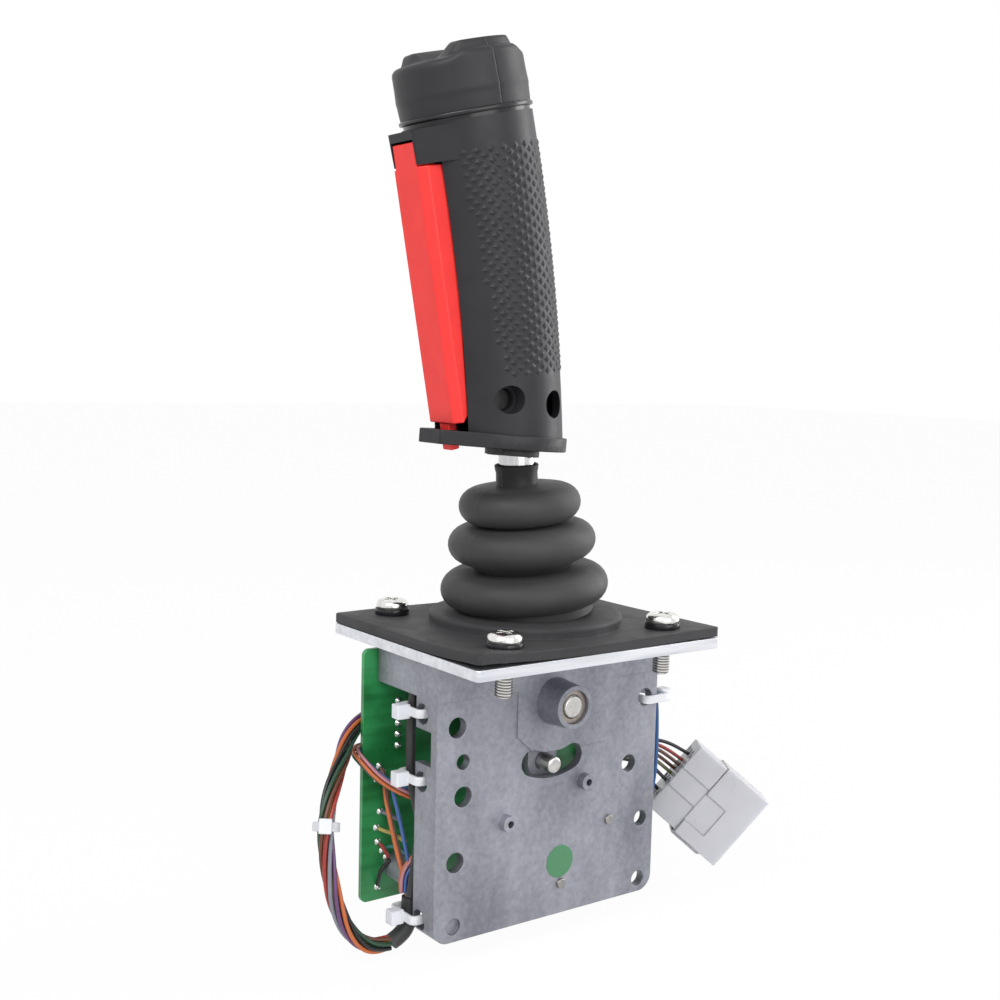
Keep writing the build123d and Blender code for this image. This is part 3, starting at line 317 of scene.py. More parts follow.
def soften(obj, width, angle=35.0, weld=0.000004):
    """Rounds an object's sharp edges by a small radius."""
    joined = obj.modifiers.new("weld", "WELD")
    joined.merge_threshold = weld
    flat = obj.modifiers.new("flat", "DECIMATE")
    flat.decimate_type = "DISSOLVE"
    flat.angle_limit = math.radians(0.5)
    edge = obj.modifiers.new("edge", "BEVEL")
    edge.width = width
    edge.segments = 2
    edge.limit_method = "ANGLE"
    edge.angle_limit = math.radians(angle)
    edge.use_clamp_overlap = False
    edge.harden_normals = True
    return obj


def lathe(profile, segments, place=None, offset=None):
    """A surface turned round Z from (radius, height) points; its ends are closed."""
    mesh = bmesh.new()
    rings = []
    for index, (radius, height) in enumerate(profile):
        ring = []
        for step in range(segments):
            turn = 2 * math.pi * step / segments
            extra = offset(index, turn) if offset else 0.0
            ring.append(mesh.verts.new(((radius + extra) * math.cos(turn), (radius + extra) * math.sin(turn), height)))
        rings.append(ring)
    for low, high in zip(rings, rings[1:]):
        for step in range(segments):
            after = (step + 1) % segments
            mesh.faces.new((low[step], low[after], high[after], high[step]))
    mesh.faces.new(list(reversed(rings[0])))
    mesh.faces.new(rings[-1])
    if place:
        mesh.transform(place)
    return mesh


def joined(*meshes):
    """Several bmeshes as one."""
    whole = bmesh.new()
    for mesh in meshes:
        data = bpy.data.meshes.new("part")
        mesh.to_mesh(data)
        mesh.free()
        whole.from_mesh(data)
        bpy.data.meshes.remove(data)
    return whole


def rounded_box(size, radius, place=None, steps=2):
    """A box with rounded edges, centred on its frame."""
    mesh = bmesh.new()
    bmesh.ops.create_cube(mesh, size=1.0)
    mesh.transform(Matrix.Diagonal((*size, 1.0)))
    bmesh.ops.bevel(mesh, geom=mesh.edges[:], offset=radius, segments=steps, profile=0.5, affect="EDGES")
    if place:
        mesh.transform(place)
    return mesh


def smooth_faces(obj, angle=30.0, weld=0.000004):
    """Shades an object's curved faces as smooth ones and keeps its sharp edges."""
    joined = obj.modifiers.new("weld", "WELD")
    joined.merge_threshold = weld
    sharp = obj.modifiers.new("sharp", "EDGE_SPLIT")
    sharp.split_angle = math.radians(angle)
    obj.data.shade_smooth()


def paint_node(node, material, soft=0.0002, angle=35.0):
    """Gives a CAD node its material and rounds its edges, or only smooths its curved faces."""
    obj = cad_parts[node]
    obj.data.materials.clear()
    obj.data.materials.append(MATERIALS[material])
    if soft:
        soften(obj, soft, angle)
    else:
        smooth_faces(obj)


NODE_LOOKS = {
    "mounting_plate": ("plate", 0.00025), "base_casting": ("cast", 0.0), "plate_screws": ("head", 0.0002),
    "screw_washers": ("ring", 0.0001), "wall_screws": ("zinc", 0.0002), "front_bush": ("bronze", 0.0002),
    "rear_bush": ("bronze", 0.0002), "spring_post": ("zinc", 0.0002), "centring_spring": ("spring", 0.0),
    "pivot_axle": ("axle", 0.0004), "yoke": ("cast", 0.0003), "yoke_screw": ("zinc", 0.0001),
    "guide_pin": ("axle", 0.0003), "axle_magnet": ("dark_steel", 0.0001), "handle_shaft": ("shaft", 0.0002),
    "grip_flange": ("grip", 0.0003), "grip_hub": ("inner", 0.0002), "grip_screws": ("dark_steel", 0.0001),
    "grip_shell_near": ("grip", 0.0), "grip_shell_far": ("grip", 0.0), "trigger": ("red", 0.0004),
    "trigger_pin": ("zinc", 0.0001), "trigger_switch": ("chip", 0.0002), "trigger_plunger": ("red", 0.0001),
    "trigger_spring": ("spring", 0.0), "rocker_carrier": ("inner", 0.0002), "rocker_pin": ("zinc", 0.0001),
    "rocker_paddle": ("inner", 0.0002), "rocker_switches": ("chip", 0.0002), "rocker_plunger_near": ("red", 0.0001),
    "rocker_plunger_far": ("red", 0.0001), "cap_ring": ("ring", 0.0), "control_board": ("board", 0.0001),
    "board_screws": ("zinc", 0.0002), "board_components": ("chip", 0.0002), "angle_sensor": ("chip", 0.0001),
    "side_ties": ("tie", 0.0003), "loop_tie": ("tie", 0.0003), "right_tie": ("tie", 0.0003),
    "connector_housing": ("housing", 0.0004), "connector_terminals": ("tin", 0.0001),
}
for node, (material, soft) in NODE_LOOKS.items():
    paint_node(node, material, soft)


# Boot


def bellows_profile():
    """Half outline of the three rings, with a rounded valley between each two."""
    points = []
    below = FOOT_TOP - 0.0002
    for (width, height), waist in zip(RINGS, WAISTS):
        bulge = width / 2 - RING_HALF
        points.append((waist / 2 + 0.0006, below))
        reach = math.acos(max(-1.0, min(1.0, (waist / 2 + 0.0010 - bulge) / RING_HALF))) if waist / 2 > bulge else 1.5
        for step in range(13):
            turn = reach * (step / 6 - 1)
            points.append((bulge + RING_HALF * math.cos(turn), height + RING_HALF * 0.97 * math.sin(turn)))
        below = height + RING_HALF * 0.985
    points.append((NECK_RADIUS + 0.0006, RINGS[-1][1] + RING_HALF + 0.0004))
    return points


def neck_profile():
    """The tall collar round the shaft, with a thin flared lip."""
    low = RINGS[-1][1] + 0.0030 - PIVOT.z
    top = NECK_TOP - PIVOT.z
    outer = NECK_RADIUS
    return [
        (outer + 0.0010, low), (outer, low + 0.0020), (outer - 0.0001, top - 0.0026), (outer + 0.0002, top - 0.0012),
        (outer + 0.0003, top - 0.0003), (outer, top), (outer - 0.0004, top), (outer - 0.0006, top - 0.0010),
    ]


def mould_seam(index, turn):
    """A thin raised line down the side that faces -X."""
    return 0.00022 if abs(turn - math.radians(190)) < math.radians(1.6) else 0.0


def boot():
    lean = Matrix.Translation((0, 0, FOOT_TOP)) @ Matrix.Rotation(-BOOT_LEAN, 4, "Y") @ Matrix.Translation((0, 0, -FOOT_TOP))
    rings = lathe(bellows_profile(), 144, lean, mould_seam)
    obj = piece("boot_rings", None, "black_rubber", rings, "boot", smooth=50.0)
    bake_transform(obj)
    collar = lathe(neck_profile(), 96, tilted(PIVOT, SHAFT_LEAN), mould_seam)
    neck = piece("boot_neck", "handle", "black_rubber", collar, "neck", smooth=50.0)
    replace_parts(obj, "boot_bellows")
    return obj, neck


def sheet_wave(x, y):
    """How far the rubber sheet stands off the plate: its corner at -X and -Y curls up and its edges ripple."""
    edge = max(abs(x) / PLATE_HALF[0], abs(y) / PLATE_HALF[1])
    free = max(0.0, (edge - 0.72) / 0.28)
    left_corner = math.exp(-((x + 0.0445) ** 2 + (y + 0.0381) ** 2) / 0.014 ** 2)
    ripple = 0.5 + 0.5 * math.sin(95.0 * x + 1.1) * math.cos(70.0 * y - 0.4)
    return 0.0012 * left_corner + 0.0004 * free * ripple


def boot_sheet():
    """The square rubber sheet with the boot's round foot on it."""
    mesh = bmesh.new()
    mesh.from_mesh(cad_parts["boot_flange"].data)
    bmesh.ops.remove_doubles(mesh, verts=mesh.verts, dist=0.000004)
    for _ in range(4):
        long_edges = [e for e in mesh.edges if e.calc_length() > 0.004]
        bmesh.ops.subdivide_edges(mesh, edges=long_edges, cuts=1)
        bmesh.ops.triangulate(mesh, faces=mesh.faces)
    for vert in mesh.verts:
        x, y, _ = vert.co
        vert.co.z += sheet_wave(x, y)
    obj = piece("boot_sheet", "base", "black_rubber", mesh, "sheet", smooth=40.0)
    soften(obj, 0.0003)
    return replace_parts(obj, "boot_flange")


boot()
boot_sheet()


# Grip and thumb cap

KNURL_ROWS = (0.0200, 0.0830)
KNURL_PITCH = 0.0031
KNURL_TURN = 5.9
KNURL_EDGE = (119.0, 139.0)
KNURL_HEIGHT = 0.00034


def knurl(side):
    """Staggered diamond points over one half of the grip."""
    mesh = bmesh.new()
    rows = int((KNURL_ROWS[1] - KNURL_ROWS[0]) / KNURL_PITCH * 2)
    for row in range(rows + 1):
        along = KNURL_ROWS[0] + row * KNURL_PITCH / 2
        share = row / rows
        edge = KNURL_EDGE[0] + (KNURL_EDGE[1] - KNURL_EDGE[0]) * share
        column = 0
        while True:
            turn = 3.4 + (column * 2 + row % 2) * KNURL_TURN
            if turn > edge:
                break
            add_diamond(mesh, along, side * turn)
            column += 1
    return mesh


def add_diamond(mesh, along, turn):
    """One four-sided point whose base lies in the grip's skin."""
    base = GRIP_RADIUS - 0.00012
    half_turn = math.radians(KNURL_TURN * 0.93)
    half_long = KNURL_PITCH / 2 * 0.93
    centre = math.radians(turn)

    def at(radius, angle, distance):
        across = Vector((radius * math.cos(angle), radius * math.sin(angle), 0.0))
        return mesh.verts.new(grip_frame(distance) @ across)

    corners = [at(base, centre - half_turn, along), at(base, centre, along - half_long),
               at(base, centre + half_turn, along), at(base, centre, along + half_long)]
    tip = GRIP_RADIUS + KNURL_HEIGHT
    flat = 0.14
    tops = [at(tip, centre - half_turn * flat, along), at(tip, centre, along - half_long * flat),
            at(tip, centre + half_turn * flat, along), at(tip, centre, along + half_long * flat)]
    for index in range(4):
        after = (index + 1) % 4
        mesh.faces.new((corners[index], corners[after], tops[after], tops[index]))
    mesh.faces.new(tops)
    mesh.faces.new(list(reversed(corners)))


for side, name in ((-1, "knurl_near"), (1, "knurl_far")):
    piece(name, "handle", "black_plastic", knurl(side), "grip", smooth=20.0)


CAP_RIM = 0.0004
CAP_CREASE = 0.0052
CAP_LEDGE = 0.0150
CAP_SHOULDER = 0.0021
CAP_SEAM = 268.6
LOBE_RISE = 0.0036
LOBE_FLANK = (0.0028, 0.0100)
LOBE_HALF = 0.0086
LOBE_WALL = (0.0158, 0.0170)


def ease(low, high, value):
    share = max(0.0, min(1.0, (value - low) / (high - low)))
    return share * share * (3 - 2 * share)


def cap_top(x, y):
    """The cap's height, with a thumb lobe at each end of a shallow valley."""
    radius = math.hypot(x, y)
    across = ease(*LOBE_FLANK, abs(y))
    along = 1.0 - ease(LOBE_HALF - 0.0012, LOBE_HALF + 0.0034, abs(x))
    inside = 1.0 - ease(*LOBE_WALL, radius)
    return CAP_LEDGE - 0.0006 * (radius / CAP_RADIUS) ** 2 + LOBE_RISE * across * along * inside


def cap_profile(turn):
    """One side of the cap from its middle to its rim, as (radius, height) points."""
    c, s = math.cos(turn), math.sin(turn)
    inner = CAP_RADIUS - CAP_SHOULDER
    points = []
    for step in range(1, 41):
        radius = inner * (step / 40) ** 0.7
        points.append((radius, cap_top(radius * c, radius * s)))
    height = points[-1][1]
    for step in range(1, 7):
        angle = math.radians(15 * step)
        points.append((inner + CAP_SHOULDER * math.sin(angle), height - CAP_SHOULDER * (1 - math.cos(angle))))
    side = height - CAP_SHOULDER
    for step in range(1, 9):
        share = step / 8
        points.append((CAP_RADIUS + 0.0003 * share * share, side + (CAP_CREASE - side) * share))
    points += [
        (CAP_RADIUS + 0.00018, CAP_CREASE - 0.0003), (CAP_RADIUS + 0.00010, CAP_CREASE - 0.0016),
        (CAP_RADIUS, 0.0016), (CAP_RADIUS - 0.0001, CAP_RIM),
    ]
    return points


def cap_turns():
    """The angles of the cap's columns, with three close together at its seam."""
    even = [2.0 * step for step in range(180)]
    apart = [turn for turn in even if abs(turn - CAP_SEAM) > 1.4]
    return sorted(apart + [CAP_SEAM - 0.7, CAP_SEAM, CAP_SEAM + 0.7])


def thumb_cap():
    """The rubber cap with two lobes, a crease round its foot and a seam on its near side."""
    mesh = bmesh.new()
    middle = mesh.verts.new((0.0, 0.0, cap_top(0.0, 0.0)))
    columns = []
    for degrees in cap_turns():
        turn = math.radians(degrees)
        groove = 0.00030 if degrees == CAP_SEAM else 0.0
        column = []
        for index, (radius, height) in enumerate(cap_profile(turn)):
            reach = radius - (groove if index > 36 else 0.0)
            column.append(mesh.verts.new((reach * math.cos(turn), reach * math.sin(turn), height)))
        columns.append(column)
    for here, there in zip(columns, columns[1:] + columns[:1]):
        mesh.faces.new((middle, here[0], there[0]))
        for index in range(len(here) - 1):
            mesh.faces.new((here[index], here[index + 1], there[index + 1], there[index]))
    mesh.faces.new([column[-1] for column in columns])
    mesh.transform(CAP_FRAME)
    obj = piece("thumb_cap", None, "black_rubber", mesh, "cap", smooth=60.0)
    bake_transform(obj)
    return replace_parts(obj, "rubber_cap")


thumb_cap()


# Threads and small fasteners


def thread(place, radius, length, pitch, depth):
    """A screw thread with a chamfered end, along -Z from its frame."""
    mesh = bmesh.new()
    steps = 24
    turns = int(length / pitch)
    previous = None
    for index in range(turns * steps + 1):
        turn = 2 * math.pi * index / steps
        height = -pitch * index / steps
        fade = min(1.0, (length + height) / pitch)
        outer = radius - depth * (1 - max(0.2, fade))
        ring = []
        for share, reach in ((0.0, radius - depth), (0.28, outer), (0.44, outer), (0.72, radius - depth)):
            ring.append(mesh.verts.new((reach * math.cos(turn), reach * math.sin(turn), height - pitch * share)))
        if previous:
            for a in range(3):
                mesh.faces.new((previous[a], previous[a + 1], ring[a + 1], ring[a]))
        previous = ring
    mesh.transform(place)
    return mesh


def plate_threads():
    threads = []
    for x in (-SCREW_SPOT, SCREW_SPOT):
        for y in (-SCREW_SPOT, SCREW_SPOT):
            threads.append(thread(Matrix.Translation((x, y, 0.0002)), 0.00255, 0.0076, 0.0008, 0.00040))
    piece("plate_threads", "base", "bright_chrome", joined(*threads), "zinc", smooth=20.0)


plate_threads()

STICKER = Vector((0.0040, WALL_FACE, -0.0653))


def green_dot():
    """A plain round label on the front wall."""
    lying = Matrix.Translation(STICKER) @ Matrix.Rotation(math.radians(90), 4, "X")
    profile = [(0.0050, -0.00002), (0.0050, 0.00010), (0.00492, 0.00016), (0.0046, 0.00018)]
    piece("green_dot", "base", "cast_grey", lathe(profile, 64, lying), "sticker")


green_dot()


# Board details

SOLDER_SPOTS = [(-0.0334, -0.0183 - 0.00343 * i) for i in range(5)]

# Single wires soldered to the front of the board: colour and route, from the joint on
LEADS = (
    ("yellow", (
        (-0.0405, 0.0182, -0.0564), (-0.0400, 0.0166, -0.0565), (-0.0386, 0.0154, -0.0572),
        (-0.0376, 0.0126, -0.0572), (-0.0364, 0.0080, -0.0586))),
    ("grey", (
        (-0.0393, 0.0182, -0.0516), (-0.0389, 0.0165, -0.0516), (-0.0376, 0.0154, -0.0520),
        (-0.0358, 0.0136, -0.0534))),
    ("red", (
        (-0.0399, 0.0182, -0.0609), (-0.0396, 0.0166, -0.0615), (-0.0391, 0.0156, -0.0626),
        (-0.0381, 0.0146, -0.0650))),
    ("teal", (
        (-0.0383, 0.0182, -0.0639), (-0.0379, 0.0164, -0.0627), (-0.0370, 0.0150, -0.0619),
        (-0.0360, 0.0120, -0.0617), (-0.0348, 0.0080, -0.0634))),
    ("black", (
        (-0.0398, 0.0182, -0.0750), (-0.0403, 0.0166, -0.0726), (-0.0400, 0.0162, -0.0699),
        (-0.0388, 0.0160, -0.0679), (-0.0372, 0.0150, -0.0662))),
    ("brown", (
        (-0.0369, 0.0182, -0.0661), (-0.0366, 0.0156, -0.0671), (-0.0363, 0.0120, -0.0676),
        (-0.0370, 0.0075, -0.0693), (-0.0384, 0.0026, -0.0724))),
    ("red", (
        (-0.0357, 0.0182, -0.0676), (-0.0356, 0.0156, -0.0686), (-0.0358, 0.0110, -0.0700),
        (-0.0372, 0.0056, -0.0716), (-0.0390, 0.0014, -0.0740))),
    ("brown", (
        (-0.0398, 0.0182, -0.0374), (-0.0394, 0.0162, -0.0389), (-0.0396, 0.0142, -0.0416),
        (-0.0395, 0.0126, -0.0501), (-0.0391, 0.0092, -0.0572), (-0.0389, 0.0054, -0.0646),
        (-0.0387, 0.0022, -0.0703), (-0.0396, 0.0006, -0.0744))),
    ("orange", (
        (-0.0384, 0.0182, -0.0394), (-0.0390, 0.0160, -0.0410), (-0.0400, 0.0144, -0.0448),
        (-0.0399, 0.0124, -0.0501), (-0.0399, 0.0094, -0.0565), (-0.0398, 0.0054, -0.0642),
        (-0.0395, 0.0020, -0.0701), (-0.0402, 0.0004, -0.0742))),
    ("blue", (
        (-0.0406, 0.0094, -0.0414), (-0.0397, 0.0090, -0.0455), (-0.0390, 0.0070, -0.0517),
        (-0.0384, 0.0045, -0.0595), (-0.0379, 0.0020, -0.0680), (-0.0386, 0.0006, -0.0730))),
)
LEAD_WIRE = 0.0012


def solder_joint(x, z, y, radius, height, facing):
    """A small cone of solder."""
    turn = Matrix.Rotation(math.radians(90 * facing), 4, "X")
    profile = [(radius, 0.0), (radius * 0.92, height * 0.12), (radius * 0.6, height * 0.45),
               (radius * 0.42, height * 0.8), (radius * 0.36, height), (radius * 0.2, height * 1.05)]
    return lathe(profile, 20, Matrix.Translation((x, y, z)) @ turn)


def board_details():
    lead_ends = [(route[0][0], route[0][2]) for _, route in LEADS]
    joints = [solder_joint(x, z, BOARD_FRONT, 0.0011, 0.0012, 1) for x, z in SOLDER_SPOTS + lead_ends]
    piece("solder_front", "base", "tinned_brass", joined(*joints), "solder", smooth=40.0)
    legs = []
    for side in (-1, 1):
        for step in range(7):
            size = (0.0005, 0.0024, 0.0016)
            spot = (-0.0066 + 0.0022 * step, BOARD_BACK + 0.0010, -0.0308 + side * 0.0040)
            legs.append(rounded_box(size, 0.00012, Matrix.Translation(spot)))
    piece("chip_legs", "base", "tinned_brass", joined(*legs), "solder")
    pins = []
    for row in range(10):
        for column in (-0.0291, -0.0274):
            spot = Matrix.Translation((column, BOARD_BACK + 0.0035, -0.0150 - 0.00245 * row))
            pins.append(rounded_box((0.0006, 0.0050, 0.0006), 0.0001, spot))
    piece("header_pins", "base", "tinned_brass", joined(*pins), "tin")
    caps = [lathe([(0.0037, 0.0), (0.0037, 0.00015), (0.0033, 0.0002)], 40,
                  Matrix.Translation((0.0260, BOARD_BACK + 0.0089, -0.0300)) @ Matrix.Rotation(math.radians(-90), 4, "X"))]
    for x in (-0.0107, 0.0013):
        place = Matrix.Translation((x, BOARD_BACK + 0.0050, -0.0587)) @ Matrix.Rotation(math.radians(-90), 4, "X")
        caps.append(lathe([(0.0016, 0.0), (0.0016, 0.0004), (0.0013, 0.0005)], 24, place))
    piece("component_tops", "base", "tinned_brass", joined(*caps), "tin")


board_details()


# Wires and cords, with the routes of the CAD source in metres

SLEEVE_ROUTE = [
    (-0.0390, 0.0006, -0.0080), (-0.0393, 0.0006, -0.0126), (-0.0399, 0.0007, -0.0190),
    (-0.0400, 0.0006, -0.0275), (-0.0398, 0.0005, -0.0360), (-0.0386, -0.0006, -0.0435),
    (-0.0374, -0.0018, -0.0505), (-0.0386, -0.0016, -0.0590), (-0.0402, -0.0012, -0.0714),
]
SLEEVE_END_ROUTE = [
    (-0.0393, 0.0005, -0.0720), (-0.0394, 0.0004, -0.0757), (-0.0399, 0.0002, -0.0794),
    (-0.0420, 0.0000, -0.0826), (-0.0456, -0.0002, -0.0839),
]
LOOP_ROUTE = [
    (-0.0469, -0.0002, -0.0841), (-0.0506, -0.0003, -0.0842), (-0.0554, -0.0001, -0.0826),
    (-0.0602, 0.0004, -0.0776), (-0.0637, 0.0010, -0.0696), (-0.0657, 0.0017, -0.0606),
    (-0.0663, 0.0029, -0.0515), (-0.0644, 0.0054, -0.0433), (-0.0602, 0.0094, -0.0371),
    (-0.0547, 0.0144, -0.0319), (-0.0497, 0.0196, -0.0276), (-0.0439, 0.0234, -0.0244),
    (-0.0378, 0.0235, -0.0228), (-0.0316, 0.0234, -0.0226),
]
BRANCH_ROUTE = [
    (-0.0314, 0.0224, -0.0340), (-0.0374, 0.0226, -0.0334), (-0.0434, 0.0224, -0.0322),
    (-0.0476, 0.0196, -0.0322), (-0.0474, 0.0154, -0.0340), (-0.0442, 0.0110, -0.0386),
    (-0.0396, 0.0072, -0.0420), (-0.0342, 0.0038, -0.0442), (-0.0306, 0.0018, -0.0486),
    (-0.0304, 0.0014, -0.0546), (-0.0336, 0.0022, -0.0600), (-0.0384, 0.0028, -0.0636),
    (-0.0405, 0.0026, -0.0672), (-0.0402, 0.0023, -0.0712),
]
BLUE_ROUTE = [
    (0.0364, 0.0176, -0.0170), (0.0368, 0.0142, -0.0172), (0.0408, 0.0114, -0.0154), (0.0446, 0.0068, -0.0120),
    (0.0448, 0.0006, -0.0104), (0.0440, -0.0056, -0.0116), (0.0432, -0.0106, -0.0156),
    (0.0431, -0.0127, -0.0218), (0.0432, -0.0129, -0.0326), (0.0431, -0.0128, -0.0434),
    (0.0434, -0.0112, -0.0526), (0.0438, -0.0060, -0.0586), (0.0426, 0.0012, -0.0614), (0.0376, 0.0074, -0.0588),
    (0.0334, 0.0128, -0.0546), (0.0330, 0.0175, -0.0536),
]
PIGTAIL_ROUTE = [
    (0.0380, 0.0174, -0.0454), (0.0386, 0.0130, -0.0452), (0.0426, 0.0100, -0.0444), (0.0484, 0.0084, -0.0436),
    (0.0540, 0.0066, -0.0436), (0.0596, 0.0052, -0.0460), (0.0642, 0.0012, -0.0511),
]


def route_curve(name, route):
    """A smooth curve with the route's points as its control points."""
    curve = bpy.data.curves.new(name, "CURVE")
    curve.dimensions = "3D"
    curve.resolution_u = 10
    spline = curve.splines.new("NURBS")
    spline.points.add(len(route) - 1)
    for point, place in zip(spline.points, route):
        point.co = (*place, 1.0)
    spline.order_u = 3
    spline.use_endpoint_u = True
    obj = bpy.data.objects.new(name, curve)
    bpy.context.collection.objects.link(obj)
    return obj


def line_of(route):
    """The points along a route's curve."""
    obj = route_curve("route", route)
    mesh = bpy.data.meshes.new_from_object(obj)
    points = [v.co.copy() for v in mesh.vertices]
    bpy.data.meshes.remove(mesh)
    bpy.data.objects.remove(obj)
    return points


def length_of(points):
    return sum((b - a).length for a, b in zip(points, points[1:]))


def directions(points):
    ahead = points[1:] + points[-1:]
    behind = points[:1] + points[:-1]
    return [(a - b).normalized() for a, b in zip(ahead, behind)]


def add_tube(mesh, points, radius, material, sides=10):
    """A round tube along points, closed at both ends."""
    previous = None
    across = None
    for point, along in zip(points, directions(points)):
        guess = across if across else along.orthogonal()
        across = (guess - along * guess.dot(along)).normalized()
        third = along.cross(across)
        ring = []
        for step in range(sides):
            turn = 2 * math.pi * step / sides
            ring.append(mesh.verts.new(point + radius * (math.cos(turn) * across + math.sin(turn) * third)))
        if previous:
            for step in range(sides):
                after = (step + 1) % sides
                face = mesh.faces.new((previous[step], previous[after], ring[after], ring[step]))
                face.material_index = material
        else:
            mesh.faces.new(list(reversed(ring))).material_index = material
        previous = ring
    mesh.faces.new(previous).material_index = material


def lay_of(count, radius):
    """Where each wire of a bundle lies across it: all round it, or some within and the rest round them."""
    within = 0 if count < 6 else 1 if count < 8 else 3
    inner = [(0.0 if within == 1 else radius * 0.42, 2 * math.pi * i / within) for i in range(within)]
    around = count - within
    return inner + [(radius, 2 * math.pi * i / around) for i in range(around)]


def bundle(name, node, route, colours, wire, spread, twist, slot, exit_point=None):
    """Wires that run together along a route, turning slowly round one another."""
    points = line_of(route)
    total = length_of(points)
    mesh = bmesh.new()
    for index, (reach, phase) in enumerate(lay_of(len(colours), spread)):
        walked = 0.0
        path = []
        across = None
        before = points[0]
        for point, along in zip(points, directions(points)):
            walked += (point - before).length
            before = point
            guess = across if across else along.orthogonal()
            across = (guess - along * guess.dot(along)).normalized()
            third = along.cross(across)
            turn = phase + twist * walked / total
            sway = 1.0 + 0.18 * noise.noise(Vector((walked * 60.0, index * 3.7, 0.0)))
            path.append(point + reach * sway * (math.cos(turn) * across + math.sin(turn) * third))
        add_tube(mesh, path, wire / 2, index)
    obj = piece(name, "base", slot, mesh, *["wire_" + c for c in colours], smooth=60.0)
    if node:
        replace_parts(obj, node)
    return obj


def single(name, node, route, diameter, material, free=True):
    """One round cord or sleeve along a route."""
    obj = route_curve(name, route)
    obj.data.bevel_depth = diameter / 2
    obj.data.bevel_resolution = 4
    obj.data.use_fill_caps = True
    obj.data.materials.append(MATERIALS[material])
    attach(obj, "base")
    if free:
        length_of(line_of(route))
    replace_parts(obj, node)
    return obj


TAIL_SPOTS = (0.0080, 0.0052, 0.0034, 0.0012, -0.0006, -0.0034, -0.0078)
CONNECTOR = Vector((0.0646, 0.0008, -0.0516))
CONNECTOR_AXIS = Vector((0.563, -0.532, -0.633)).normalized()
CONNECTOR_SIDE = Vector((0.549, -0.332, 0.767)).normalized()


def pigtail(colours, wire):
    """The connector's wires, which leave the board together and fan out to their own terminals."""
    through = [Vector(place) for place in PIGTAIL_ROUTE]
    depth = CONNECTOR_AXIS.cross(CONNECTOR_SIDE)
    for index, (spot, colour) in enumerate(zip(TAIL_SPOTS, colours)):
        end = CONNECTOR + spot * CONNECTOR_SIDE + 0.0012 * (index % 3 - 1) * depth
        gap = end - through[-1]
        route = []
        for step, place in enumerate(through):
            share = (step / (len(through) - 1)) ** 1.5
            near = 0.0014 * Vector((math.cos(index * 0.9), 0.2, math.sin(index * 0.9)))
            route.append(place + share * gap + (1 - share) * near)
        route.append(end + 0.0006 * CONNECTOR_AXIS)
        single(f"pigtail_{index + 1}", "pigtail_wires", route, wire, "wire_" + colour)


def board_leads():
    mesh = bmesh.new()
    for index, (_, route) in enumerate(LEADS):
        add_tube(mesh, line_of(route), LEAD_WIRE / 2, index)
    piece("board_leads", "base", "wire_cover", mesh, *["wire_" + colour for colour, _ in LEADS], smooth=60.0)


def cords():
    single("sleeve", "sleeved_cable", SLEEVE_ROUTE, 0.0028, "sleeve")
    single("sleeve_tail", "sleeve_end", SLEEVE_END_ROUTE, 0.0050, "sleeve", free=False)
    bundle("loop_wires", "wire_loop", LOOP_ROUTE,
           ("green", "yellow", "olive", "black", "green", "brown", "red", "grey", "purple", "orange"),
           0.00122, 0.00175, 9.0, "wire_cover")
    bundle("branch_bundle", "branch_wires", BRANCH_ROUTE, ("blue", "pink", "orange", "green", "purple"),
           0.00105, 0.00105, 3.0, "wire_cover")
    bundle("blue_pair", "blue_wires", BLUE_ROUTE, ("royal", "royal"), 0.0013, 0.00062, 5.0, "blue_wire_cover")
    pigtail(("black", "red", "brown", "brown", "olive", "black", "black"), 0.0012)
    board_leads()


cords()


# Floor, light and camera

FLOOR_LEVEL = -0.0885
CAMERA_PLACE = Vector((-0.2482, -0.3234, 0.0847))
CAMERA_TURN = 36.31
CAMERA_PITCH = -5.90
CAMERA_ROLL = 1.40
CAMERA_LENS = 49.13


def seen_rays(tree):
    """1 for rays from the camera or off a glossy or clear surface, and 0 for those that light the object."""
    path = tree.nodes.new("ShaderNodeLightPath")
    total = path.outputs["Is Camera Ray"]
    for name in ("Is Glossy Ray", "Is Transmission Ray"):
        both = tree.nodes.new("ShaderNodeMath")
        both.operation = "MAXIMUM"
        tree.links.new(total, both.inputs[0])
        tree.links.new(path.outputs[name], both.inputs[1])
        total = both.outputs[0]
    return total


def white_world():
    world = bpy.data.worlds.new("studio")
    bpy.context.scene.world = world
    world.use_nodes = True
    tree = world.node_tree
    tree.nodes.clear()
    lit = tree.nodes.new("ShaderNodeBackground")
    lit.inputs["Color"].default_value = (0.97, 0.98, 1.0, 1.0)
    lit.inputs["Strength"].default_value = 0.40
    shown = tree.nodes.new("ShaderNodeBackground")
    shown.inputs["Color"].default_value = (1.0, 1.0, 1.0, 1.0)
    shown.inputs["Strength"].default_value = 1.0
    mix = tree.nodes.new("ShaderNodeMixShader")
    out = tree.nodes.new("ShaderNodeOutputWorld")
    tree.links.new(seen_rays(tree), mix.inputs["Fac"])
    tree.links.new(lit.outputs[0], mix.inputs[1])
    tree.links.new(shown.outputs[0], mix.inputs[2])
    tree.links.new(mix.outputs[0], out.inputs["Surface"])


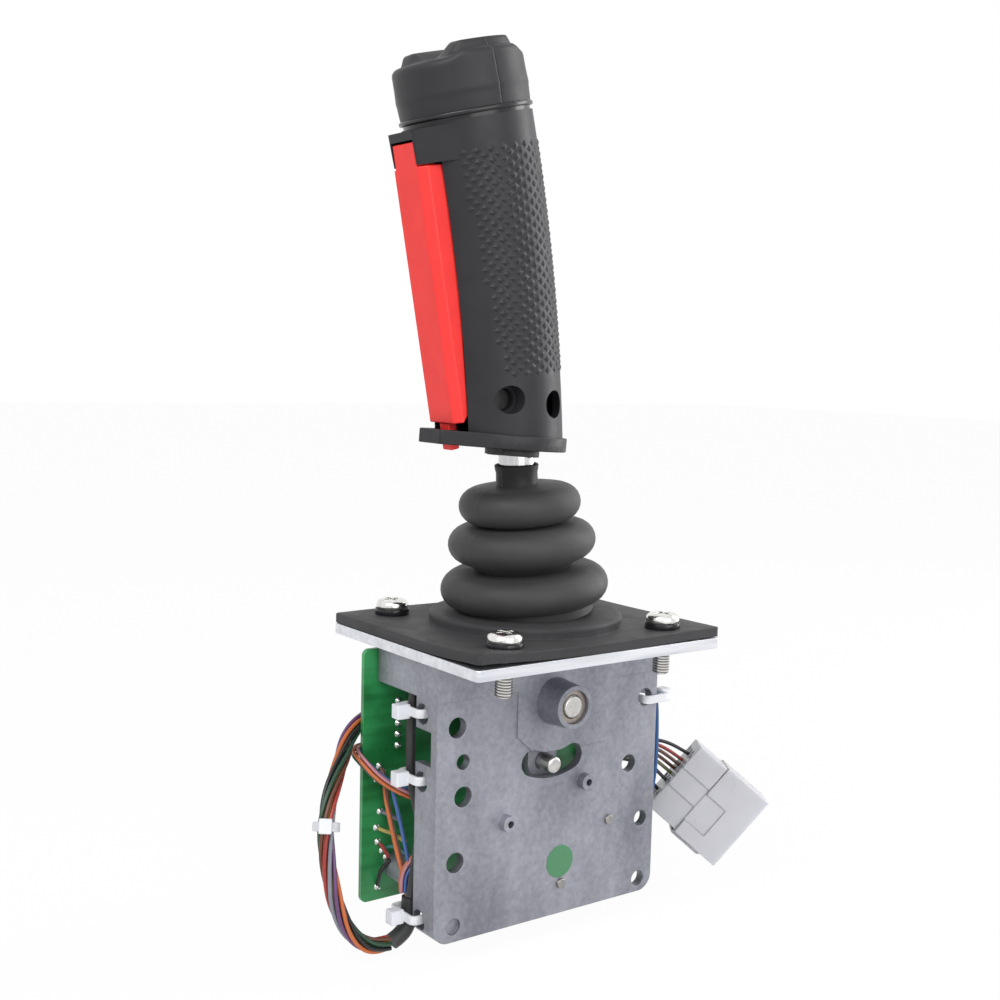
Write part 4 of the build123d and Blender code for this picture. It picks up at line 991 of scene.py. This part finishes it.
def pale_floor():
    mesh = bmesh.new()
    bmesh.ops.create_grid(mesh, x_segments=1, y_segments=1, size=4.0)
    data = bpy.data.meshes.new("floor")
    mesh.to_mesh(data)
    mesh.free()
    floor = bpy.data.objects.new("floor", data)
    floor.location = (0, 0, FLOOR_LEVEL)
    bpy.context.collection.objects.link(floor)
    paper = Shader("paper", Roughness=0.9)
    paper.colour(paper.noise(2.0), (0.86, 0.86, 0.865), (0.90, 0.90, 0.90))
    glow = paper.add("ShaderNodeEmission", Color=(1.0, 1.0, 1.0, 1.0), Strength=1.0)
    share = paper.add("ShaderNodeMath", operation="MULTIPLY")
    paper.link(seen_rays(paper.tree), share.inputs[0])
    share.inputs[1].default_value = 0.96
    mix = paper.add("ShaderNodeMixShader")
    paper.link(share.outputs[0], mix.inputs["Fac"])
    paper.link(paper.main.outputs[0], mix.inputs[1])
    paper.link(glow.outputs[0], mix.inputs[2])
    paper.link(mix.outputs[0], paper.tree.nodes["Material Output"].inputs["Surface"])
    data.materials.append(paper.material)


def lamp(name, place, target, size, power, colour=(1.0, 1.0, 1.0)):
    """A large soft lamp that looks at a point."""
    light = bpy.data.lights.new(name, "AREA")
    light.shape = "RECTANGLE"
    light.size, light.size_y = size
    light.energy = power
    light.color = colour
    obj = bpy.data.objects.new(name, light)
    obj.location = place
    obj.rotation_euler = (Vector(target) - Vector(place)).to_track_quat("-Z", "Y").to_euler()
    bpy.context.collection.objects.link(obj)


def photo_camera():
    """The photograph's viewpoint, turned a little about its own axis."""
    turn, pitch = math.radians(CAMERA_TURN), math.radians(CAMERA_PITCH)
    ahead = Vector((math.sin(turn) * math.cos(pitch), math.cos(turn) * math.cos(pitch), math.sin(pitch)))
    level = Vector((math.cos(turn), -math.sin(turn), 0.0))
    above = level.cross(ahead)
    roll = math.asin(math.sin(math.radians(CAMERA_ROLL)) / math.cos(pitch))
    right = math.cos(roll) * level + math.sin(roll) * above
    up = math.cos(roll) * above - math.sin(roll) * level
    data = bpy.data.cameras.new("camera")
    data.lens = CAMERA_LENS
    data.sensor_width = 36.0
    data.clip_start = 0.01
    camera = bpy.data.objects.new("camera", data)
    place = Matrix((right, up, -ahead)).transposed().to_4x4()
    place.translation = CAMERA_PLACE
    camera.matrix_world = place
    bpy.context.collection.objects.link(camera)
    bpy.context.scene.camera = camera


white_world()
pale_floor()
lamp("key", (-0.75, -0.35, 0.75), (-0.01, 0.0, 0.05), (0.7, 0.7), 7.0)
lamp("front", (-0.10, -0.95, 0.35), (0.0, 0.0, 0.0), (0.8, 0.8), 5.0)
lamp("right", (0.80, -0.20, 0.30), (0.0, 0.0, 0.06), (0.4, 0.9), 5.5)
photo_camera()
bpy.context.scene.view_settings.view_transform = "Standard"
